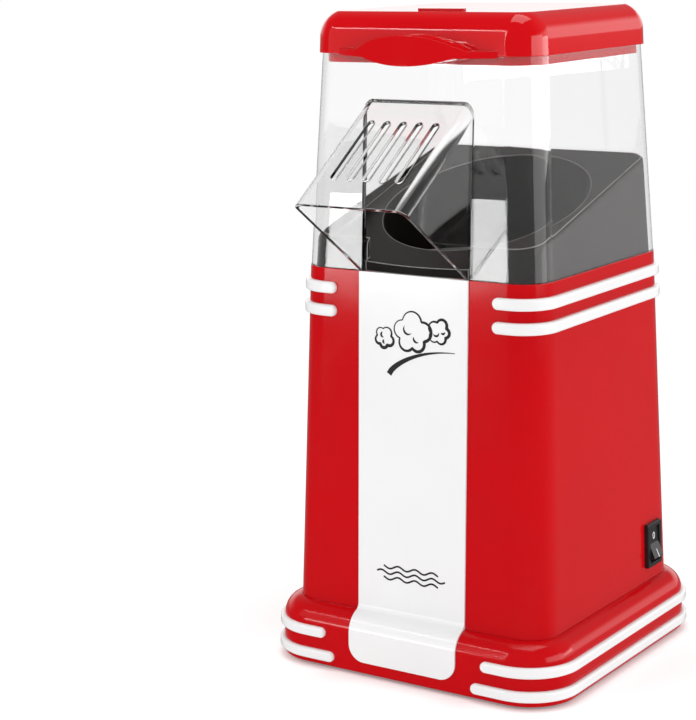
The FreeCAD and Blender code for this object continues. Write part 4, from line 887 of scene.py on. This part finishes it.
@dataclass
class Casing(SubAssembly):
    """Red tower and base with the white strip, its printed signs and the trims."""

    finishes = {Finish.RED: ("base_shell", "body_shell"),
                Finish.WHITE: ("front_panel", "body_trim_lower", "body_trim_upper",
                               "base_trim_lower", "base_trim_upper")}
    ink_proud: float = 0.00008
    sign_height: float = 0.0265
    sign_middle_z: float = 0.1590
    row_start: Point = (-0.0148, 0.0005)                # the first kernel, from the sign's middle
    row: tuple[tuple[float, ...], ...] = (              # step, lift, size and turn of each kernel
        (0.0, -0.003, 0.42, 40.0), (0.0148, 0.0, 0.80, 5.0), (0.0288, 0.002, 0.48, -50.0))
    kernel_unit: float = 0.75
    kernel_steps: int = 120
    lobes: tuple[tuple[float, ...], ...] = (            # x, z and radius
        (-0.34, 0.08, 0.26), (-0.04, 0.32, 0.31), (0.34, 0.12, 0.27), (0.20, -0.24, 0.22),
        (-0.16, -0.26, 0.24))
    curls: tuple[tuple[float, ...], ...] = (            # x, z, radius, first and last degree
        (-0.14, 0.12, 0.15, 150, 320), (0.17, -0.09, 0.12, 170, 300))
    curl_step: int = 8
    pen: float = 0.0010
    pen_slant: float = 0.0005
    sweep_steps: int = 30
    sweep_start_x: float = -0.012
    sweep_length: float = 0.034
    sweep_rise: float = 0.0125
    sweep_widths: Point = (0.0003, 0.0024)
    breeze_z: float = 0.0490
    breeze_half: float = 0.0180
    breeze_pitch: float = 0.0026
    breeze_pen: float = 0.0008
    breeze_waves: int = 4
    breeze_steps: int = 60
    breeze_inset: int = 6

    def pieces(self) -> list[Object]:
        """Prints the two signs on the white strip.

        Returns:
            The signs.
        """
        start_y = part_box("front_panel")[0].y - MARK_START
        made = []
        for name, sign in (("sign_popped_kernel", self.kernel_sign()),
                           ("sign_warm_air", self.breeze_sign())):
            corners = [[Vector((x, start_y, z)) for x, z in patch] for patch in sign]
            made.append(lay_marks(name, "front_panel", corners, Vector((0, 1, 0)), self.ink_proud,
                                  Finish.INK))
            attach(made[-1], "base")
        return made

    @staticmethod
    def stroke(points: Sequence[Point], widths: Sequence[float]) -> list[list[Point]]:
        """Four-cornered patches along a line whose width changes.

        Args:
            points: The line's points, as (x, z).
            widths: The full width at each point.

        Returns:
            The patches.
        """
        sides = []
        for i, (x, z) in enumerate(points):
            ahead, behind = points[min(i + 1, len(points) - 1)], points[max(i - 1, 0)]
            run = Vector((ahead[0] - behind[0], ahead[1] - behind[1])).normalized()
            across = Vector((-run.y, run.x)) * widths[i] / 2
            sides.append(((x + across.x, z + across.y), (x - across.x, z - across.y)))
        return [[a[0], b[0], b[1], a[1]] for a, b in zip(sides, sides[1:])]

    def kernel(self, centre: Point, size: float, turn: float) -> list[list[Point]]:
        """A popped kernel in outline with two curls.

        Args:
            centre: Its middle, as (x, z).
            size: Its height.
            turn: How far it is turned, in degrees.

        Returns:
            Its patches.
        """
        def spot(x: float, z: float) -> Point:
            """A point of the kernel, in its own units, on the strip."""
            place = Vector((x, z)) @ Matrix.Rotation(math.radians(turn), 2)
            return (centre[0] + self.kernel_unit * size * place.x,
                    centre[1] + self.kernel_unit * size * place.y)

        angles = [math.tau * k / self.kernel_steps for k in range(self.kernel_steps + 1)]
        outline = []
        for angle in angles:
            heading = Vector((math.cos(angle), math.sin(angle)))
            reach = 0.0
            for x, z, radius in self.lobes:
                along = heading.x * x + heading.y * z
                inside = radius * radius - (x * x + z * z - along * along)
                if inside > 0:
                    reach = max(reach, along + math.sqrt(inside))
            outline.append(spot(reach * heading.x, reach * heading.y))
        slant = [self.pen + self.pen_slant * math.cos(angle + 0.6) for angle in angles]
        patches = self.stroke(outline, slant)
        for x, z, radius, first, last in self.curls:
            turns = [math.radians(a) for a in range(first, last, self.curl_step)]
            arc = [spot(x + radius * math.cos(t), z + radius * math.sin(t)) for t in turns]
            patches += self.stroke(arc, [self.pen * math.sin(math.pi * (i + 0.6) / (len(arc) + 0.2))
                                         for i in range(len(arc))])
        return patches

    def kernel_sign(self) -> list[list[Point]]:
        """Three popped kernels in a rising row over a sweeping line.

        Returns:
            The sign's patches.
        """
        x0, z0 = self.row_start[0], self.sign_middle_z + self.row_start[1]
        patches = []
        for step, lift, scale, turn in self.row:
            patches += self.kernel((x0 + step, z0 + lift), self.sign_height * scale, turn)
        low_z = self.sign_middle_z - self.sign_height * 0.70
        shares = [t / self.sweep_steps for t in range(self.sweep_steps + 1)]
        sweep = [(self.sweep_start_x + self.sweep_length * share,
                  low_z + self.sweep_rise * math.sin(math.pi * share ** 0.7 / 2))
                 for share in shares]
        thin, more = self.sweep_widths
        return patches + self.stroke(sweep, [thin + more * (1 - share) ** 1.3 for share in shares])

    def breeze_sign(self) -> list[list[Point]]:
        """Three short wavy lines, one above the other, for warm air.

        Returns:
            The sign's patches.
        """
        patches = []
        for row in (-1, 0, 1):
            z0 = self.breeze_z + row * self.breeze_pitch
            shares = [t / self.breeze_steps for t in range(self.breeze_steps + 1)]
            points = [(-self.breeze_half + 2 * self.breeze_half * share,
                       z0 + self.breeze_pen * math.sin(2 * math.pi * self.breeze_waves * share))
                      for share in shares]
            inset = self.breeze_inset * abs(row)
            points = points[inset:len(points) - inset]
            patches += self.stroke(points, [self.breeze_pen] * len(points))
        return patches


@dataclass
class ClearTop(SubAssembly):
    """Clear housing and hood, with the lift-off lid."""

    finishes = {Finish.CLEAR: ("clear_housing", "chute_hood"), Finish.LID: ("lid",)}


@dataclass
class PoppingParts(SubAssembly):
    """Dark chute insert, spun chamber, gasket, shield and the duct below."""

    finishes = {Finish.INSERT: ("chute_insert",), Finish.CHAMBER: ("popping_chamber",),
                Finish.SILICONE: ("chamber_gasket",),
                Finish.SHEET: ("heat_shield", "motor_mount", "motor_can", "motor_armature"),
                Finish.DUCT: ("fan_housing", "fan_impeller", "bottom_cover")}


@dataclass
class Motor(SubAssembly):
    """Motor, its board and the leads."""

    finishes = {Finish.SWITCH: ("motor_end_cap",), Finish.BRONZE: ("motor_bushes",
                                                                   "switch_terminals"),
                Finish.MAGNET: ("motor_magnets",), Finish.COPPER: ("armature_windings",),
                Finish.SCREW: ("motor_shaft",), Finish.BOARD: ("rectifier_board",),
                Finish.COMPONENT: ("rectifier_diodes",), Finish.LEAD: ("inner_leads",)}


@dataclass
class Heater(SubAssembly):
    """Coiled resistance wire on crossed mica boards, with its cut-outs."""

    finishes = {Finish.MICA: ("heater_former",), Finish.COMPONENT: ("thermostat", "thermal_fuse")}
    radii: tuple[float, ...] = (0.016, 0.024, 0.032, 0.040)
    coil_radius: float = 0.00145
    wire_radius: float = 0.0003
    wire_sides: int = 5
    pitch: float = 0.0022
    points_a_wrap: int = 8

    def pieces(self) -> list[Object]:
        """Winds the coils, as one piece.

        Returns:
            The windings.
        """
        work = bmesh.new()
        for radius in self.radii:
            ring = self.ring(radius)
            work.from_mesh(ring.data)
            bpy.data.objects.remove(ring)
        whole = bpy.data.meshes.new("heater_windings")
        work.to_mesh(whole)
        work.free()
        whole.materials.append(Finish.HEATER.material())
        piece = link("heater_windings", whole)
        smooth(piece, 60)
        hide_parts("heater_coil")
        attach(piece, "base")
        return [piece]

    def ring(self, radius: float) -> Object:
        """One coil of wire that follows a circle.

        Args:
            radius: The circle's.

        Returns:
            The coil.
        """
        wound = round(2 * math.pi * radius / self.pitch)
        steps = wound * self.points_a_wrap
        p = Pattern(f"coil_pattern_{round(radius / MM)}")
        path_radius = p.size("Path radius", radius)
        small = p.size("Coil radius", self.coil_radius)
        wraps = p.size("Turns", float(wound))
        circle = p.node("GeometryNodeCurvePrimitiveCircle", {"mode": "RADIUS"},
                        {"Resolution": steps, "Radius": path_radius}).outputs[0]
        index = Field(p, p.node("GeometryNodeInputIndex").outputs[0])
        round_path = index / float(steps) * (2 * math.pi)
        round_wire = round_path * wraps
        reach = path_radius + small * round_wire.cosine()
        spot = p.node("ShaderNodeCombineXYZ", {}, {
            "X": reach * round_path.cosine(), "Y": reach * round_path.sine(),
            "Z": small * round_wire.sine()}).outputs[0]
        helix = p.node("GeometryNodeSetPosition", {}, {"Geometry": circle, "Position": spot})
        section = p.node("GeometryNodeCurvePrimitiveCircle", {"mode": "RADIUS"}, {
            "Resolution": self.wire_sides, "Radius": p.size("Wire radius", self.wire_radius)})
        wire = p.node("GeometryNodeCurveToMesh", {}, {"Curve": helix.outputs[0],
                                                      "Profile Curve": section.outputs[0]})
        low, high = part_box("heater_coil")
        return p.make(f"coil_{round(radius / MM)}", p.move(wire, (low + high) / 2), Finish.HEATER)


@dataclass
class RockerSwitch(SubAssembly):
    """Mains rocker with its raised 0 and I."""

    finishes = {Finish.SWITCH: ("switch_bezel", "switch_rocker", "cord_gland")}
    mark_proud: float = 0.00012
    ring_half: Point = (0.0011, 0.0017)
    ring_width: float = 0.0005
    ring_steps: int = 28
    bar_half: Point = (0.0003, 0.0018)

    def pieces(self) -> list[Object]:
        """Lays the 0 on the rocker's upper half and the I on its lower half.

        Returns:
            The two marks.
        """
        low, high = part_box("switch_rocker")
        centre = (low + high) / 2
        reach = (high.z - low.z) / 4
        turns = [2 * math.pi * k / self.ring_steps for k in range(self.ring_steps + 1)]
        half_y, half_z = self.ring_half
        hole_y, hole_z = half_y - self.ring_width, half_z - self.ring_width
        outer = [(half_y * math.cos(t), half_z * math.sin(t)) for t in turns]
        inner = [(hole_y * math.cos(t), hole_z * math.sin(t)) for t in turns]
        ring = [[a, b, d, c] for a, b, c, d in zip(outer, outer[1:], inner, inner[1:])]
        y, z = self.bar_half
        bar = [[(-y, -z), (y, -z), (y, z), (-y, z)]]
        start_x = high.x + MARK_START
        made = []
        for name, patches, z in (("mark_off", ring, centre.z + reach),
                                 ("mark_on", bar, centre.z - reach)):
            corners = [[Vector((start_x, centre.y + a, z + b)) for a, b in patch]
                       for patch in patches]
            made.append(lay_marks(name, "switch_rocker", corners, Vector((-1, 0, 0)),
                                  self.mark_proud, Finish.MARK))
            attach(made[-1], "rocker")
        return made


@dataclass
class Underside(SubAssembly):
    """Grooved feet and every cross-head screw."""

    finishes = {Finish.SCREW: ("motor_screws",)}
    foot_radius: float = 0.009
    foot_height: float = 0.0026
    foot_edge: float = 0.0002
    foot_chamfer: float = 0.0006
    stem_radius: float = 0.003
    stem_top: float = 0.0061
    stem_edge: float = 0.0005
    groove_start: float = 0.0030
    groove_pitch: float = 0.0019
    groove_width: float = 0.0009
    groove_depth: float = 0.0005
    grooves: int = 3
    sides: int = 48
    head_radius: float = 0.0028
    head_height: float = 0.0019
    head_rings: int = 9
    rim: float = 0.55                       # the head's height at its rim, as a share
    cross_half: float = 0.0003
    cross_reach: float = 0.0018
    cross_depth: float = 0.001
    cross_slope: float = 0.00018
    shank_radius: float = 0.0014
    root: float = 0.82                      # the thread's inner radius, as a share
    thread_pitch: float = 0.0011
    tip: float = 0.0008
    screw_lengths: dict[str, float] = field(default_factory=lambda: {
        "cover_screws": 0.010, "body_screws": 0.010, "duct_screws": 0.014, "insert_screws": 0.008})

    def pieces(self) -> list[Object]:
        """Makes the feet and the screws.

        Returns:
            Each set of them.
        """
        made = [self.feet()]
        for node, length in self.screw_lengths.items():
            half, centre = self.rectangle(node, self.head_radius, self.head_height)
            piece = on_corners(node + "_set", self.screw(length), half, centre, Finish.SCREW)
            made.append(self.settle(piece, node, "screw_steel"))
        return [*made, self.plate_screws()]

    def plate_screws(self) -> Object:
        """Three screws round the motor plate, the first of them at the back.

        Returns:
            The set.
        """
        low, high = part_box("plate_screws")
        radius = (high.y - low.y - 2 * self.head_radius) / 1.5
        centre = Vector(((low.x + high.x) / 2, high.y - self.head_radius - radius,
                         low.z + self.head_height))
        piece = round_circle("plate_screws_set", self.screw(high.z - low.z - self.head_height), 3,
                             radius, math.pi / 2, centre, Finish.SCREW)
        return self.settle(piece, "plate_screws", "screw_steel")

    @staticmethod
    def rectangle(node: str, radius: float, lift: float) -> tuple[Point, Vector]:
        """Finds where the four round pieces of a CAD node stand.

        Args:
            node: The node.
            radius: The pieces'.
            lift: How far their origins are above their lowest points.

        Returns:
            Half the sides of the rectangle of their axes, and its centre.
        """
        low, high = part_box(node)
        return (((high.x - low.x) / 2 - radius, (high.y - low.y) / 2 - radius),
                Vector(((low.x + high.x) / 2, (low.y + high.y) / 2, low.z + lift)))

    @staticmethod
    def settle(piece: Object, node: str, slot: str) -> Object:
        """Lets a piece stand for a CAD node of the base.

        Args:
            piece: The piece.
            node: The node.
            slot: The material slot of both; not used.

        Returns:
            The piece.
        """
        smooth(piece, 40)
        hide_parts(node)
        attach(piece, "base")
        return piece

    def feet(self) -> Object:
        """Four rubber feet with a grooved tread.

        Returns:
            The feet.
        """
        hub, soft = self.groove_start / 2, self.foot_edge
        profile = [(0.0, 2 * soft), (hub, 2 * soft), (hub + 0.0003, 0.0)]
        for step in range(self.grooves):
            inner = self.groove_start + self.groove_pitch * step
            outer = inner + self.groove_width
            profile += [(inner, 0.0), (inner + soft, self.groove_depth),
                        (outer - soft, self.groove_depth), (outer, 0.0)]
        edge, top = self.foot_radius, self.foot_height
        stem, stem_top, stem_edge = self.stem_radius, self.stem_top, self.stem_edge
        profile += [(edge - self.foot_chamfer, 0.0), (edge - soft, soft), (edge, self.foot_chamfer),
                    (edge, top - soft), (edge - soft, top), (stem, top),
                    (stem, stem_top - stem_edge), (stem - stem_edge, stem_top), (0.0, stem_top)]
        original = new_piece("foot_original", *lathe(profile, self.sides), Finish.RUBBER)
        half, centre = self.rectangle("rubber_feet", self.foot_radius, 0.0)
        piece = on_corners("feet_treaded", original, half, centre, Finish.RUBBER)
        return self.settle(piece, "rubber_feet", "foot_rubber")

    def screw(self, length: float) -> Object:
        """A pan-head screw at the origin, its head below and its thread up.

        Args:
            length: From under the head to the tip.

        Returns:
            The screw.
        """
        points = []
        for i in range(self.head_rings + 1):
            share = i / self.head_rings
            radius = self.head_radius * share
            dome = self.head_height * (1 - (1 - self.rim) * share ** 6)
            for k in range(self.sides):
                turn = 2 * math.pi * k / self.sides
                x, y = radius * math.cos(turn), radius * math.sin(turn)
                arm, reach = min(abs(x), abs(y)), max(abs(x), abs(y))
                cut = max(0.0, 1 - max(0.0, arm - self.cross_half) / self.cross_slope)
                cut *= max(0.0, min(1.0, (self.cross_reach - reach) / self.cross_half))
                points.append((x, y, -dome + self.cross_depth * min(1.0, cut)))
        faces = ring_faces(self.head_rings + 1, self.sides)
        outer, inner, pitch = self.shank_radius, self.shank_radius * self.root, self.thread_pitch
        profile = [(self.head_radius, -self.head_height * self.rim), (self.head_radius, 0.0),
                   (inner, 0.0)]
        for step in range(int((length - 0.0012) / pitch)):
            z = 0.0002 + step * pitch
            profile += [(inner, z), (outer, z + pitch * 0.45), (inner, z + pitch * 0.9)]
        profile += [(outer * 0.7, length - self.tip), (0.0, length)]
        shank_points, shank_faces = lathe(profile, self.sides)
        faces += [[len(points) + k for k in face] for face in shank_faces]
        return new_piece("screw_original", points + shank_points, faces, Finish.SCREW)


# --- Studio ---
def hang_lamp(name: str, size: Point, power: float, place: Sequence[float]) -> Object:
    """Adds a rectangular lamp that only light and gloss can find.

    Args:
        name: Its name.
        size: Its width and height.
        power: In watts.
        place: Where its middle is.

    Returns:
        The lamp, facing down.
    """
    data = bpy.data.lights.new(name, "AREA")
    data.shape, data.size, data.size_y, data.energy = "RECTANGLE", *size, power
    lamp = link(name, data)
    lamp.location = place
    lamp.visible_camera = lamp.visible_transmission = False
    return lamp


@dataclass(frozen=True)
class SoftBox:
    """A soft box that stands upright round the object and faces its axis.

    Bearings run from -Y towards +X, in degrees; the rest is in metres.
    """

    name: str
    bearings: Point
    distance: float
    heights: Point
    radiance: float
    through_clear: bool = False

    def build(self) -> None:
        """Adds the lamp."""
        first, last = self.bearings
        width = 2 * self.distance * math.tan(math.radians(last - first) / 2)
        height = self.heights[1] - self.heights[0]
        turn = math.radians((first + last) / 2)
        away = Vector((math.sin(turn), -math.cos(turn), 0.0)) * self.distance
        lamp = hang_lamp(self.name, (width, height), self.radiance * LAMP_POWER * width * height,
                         (away.x, away.y, sum(self.heights) / 2))
        lamp.rotation_euler = (-away).to_track_quat("-Z", "Y").to_euler()
        lamp.visible_transmission = self.through_clear


@dataclass
class Studio:
    """Pale floor, soft lamps and the camera."""

    camera_place: tuple[float, float, float] = (0.46678, -0.78379, 0.332204)
    yaw: float = 34.178
    pitch: float = 11.889
    roll: float = -1.058
    sensor: float = 36.0
    focal_share: float = 2019.757 / 720         # focal length over the frame's longer side
    floor_gap: float = 0.0001
    floor_reach: float = 2.0
    room: float = 0.78
    room_behind: float = 1.3
    room_in_clear: float = 0.85
    room_before: float = 0.04
    band_below: Point = (-0.03, 0.06)           # where the room's bright band begins and ends,
    band_above: Point = (0.26, 0.4)             # as the height of a ray's direction
    back_wall: Point = (-0.2, 0.7)
    beside_band: float = 0.15
    top_size: Point = (1.1, 1.1)
    top_power: float = 8.0
    top_height: float = 1.8
    soft_boxes: tuple[SoftBox, ...] = (
        SoftBox("strip_left_low", (-38.5, -26.5), 1.25, (0.05, 0.175), 7.0, True),
        SoftBox("key_left", (-58.0, -24.5), 1.3, (0.25, 1.05), 0.3),
        SoftBox("key_left_edge", (-24.5, -23.8), 1.3, (0.25, 1.05), 20.0),
        SoftBox("key_left_top", (-58.0, -23.8), 1.3, (1.05, 1.075), 20.0),
        SoftBox("side_right", (68.0, 112.0), 1.2, (0.09, 0.6), 1.8),
        SoftBox("side_back_right", (112.0, 141.0), 1.2, (0.2, 0.42), 3.0))

    def build(self) -> None:
        """Sets the stage."""
        self.floor()
        self.world()
        for soft_box in self.soft_boxes:
            soft_box.build()
        hang_lamp("top_soft", self.top_size, self.top_power, (0.0, 0.0, self.top_height))
        self.camera()
        bpy.context.scene.view_settings.view_transform = "Standard"
        LOG.info("studio set")

    def floor(self) -> None:
        """A sheet of paper at the feet's level, which gloss doesn't mirror."""
        low, reach = CAD_BOUNDS[0].z - self.floor_gap, self.floor_reach
        piece = new_piece("studio_floor", [(-reach, -reach, low), (reach, -reach, low),
                                           (reach, reach, low), (-reach, reach, low)],
                          [[0, 1, 2, 3]], Finish.PAPER)
        piece.visible_glossy = False

    def world(self) -> None:
        """White room: full white where it is seen, and for gloss dim before, paler behind."""
        world = bpy.data.worlds.new("studio")
        bpy.context.scene.world = world
        world.use_nodes = True
        tree = Tree(world.node_tree)
        world.node_tree.nodes.clear()
        path = tree.node("ShaderNodeLightPath")
        mirrors, scatters, clears = (Field(tree, path.outputs[kind + " Depth"]) > 0.5
                                     for kind in ("Glossy", "Diffuse", "Transmission"))
        ray = tree.node("ShaderNodeTexCoord").outputs["Generated"]
        parts = tree.node("ShaderNodeSeparateXYZ", {}, {"Vector": ray})
        forth, height = (Field(tree, parts.outputs[axis]) for axis in "YZ")
        band = height.ramp(*self.band_below) * (1.0 - height.ramp(*self.band_above))
        behind = forth.ramp(*self.back_wall) * (self.beside_band + band * (1.0 - self.beside_band))
        mirrored = self.room_before + behind * (self.room_behind - self.room_before)
        mirrored = clears * self.room_in_clear + (1.0 - clears) * mirrored
        unseen = scatters * self.room + (1.0 - scatters) * mirrored
        bounced = (mirrors + scatters) > 0.5
        strength = bounced * unseen + (1.0 - bounced)
        back = tree.node("ShaderNodeBackground", {}, {"Color": (1, 1, 1, 1), "Strength": strength})
        tree.node("ShaderNodeOutputWorld", {}, {"Surface": back.outputs[0]})

    def camera(self) -> None:
        """The camera, turned by yaw, pitch and roll."""
        data = bpy.data.cameras.new("camera")
        data.sensor_width = self.sensor
        data.lens = self.focal_share * self.sensor
        camera = link("camera", data)
        yaw, pitch, roll = (math.radians(v) for v in (self.yaw, self.pitch, self.roll))
        forward = Vector((-math.sin(yaw) * math.cos(pitch), math.cos(yaw) * math.cos(pitch),
                          -math.sin(pitch)))
        right = forward.cross(Vector((0, 0, 1))).normalized()
        up = right.cross(forward)
        level = right * math.cos(roll) + up * math.sin(roll)
        upright = up * math.cos(roll) - right * math.sin(roll)
        turn = Matrix((level, upright, -forward)).transposed()
        camera.matrix_world = Matrix.Translation(self.camera_place) @ turn.to_4x4()
        bpy.context.scene.camera = camera


def main() -> None:
    """Builds every sub-assembly in order."""
    logging.basicConfig(level=logging.INFO, format="%(name)s: %(message)s")
    for part in (Casing(), ClearTop(), PoppingParts(), Heater(), Motor(), RockerSwitch(),
                 Underside(), Studio()):
        part.build()


if __name__ == "__main__":
    main()
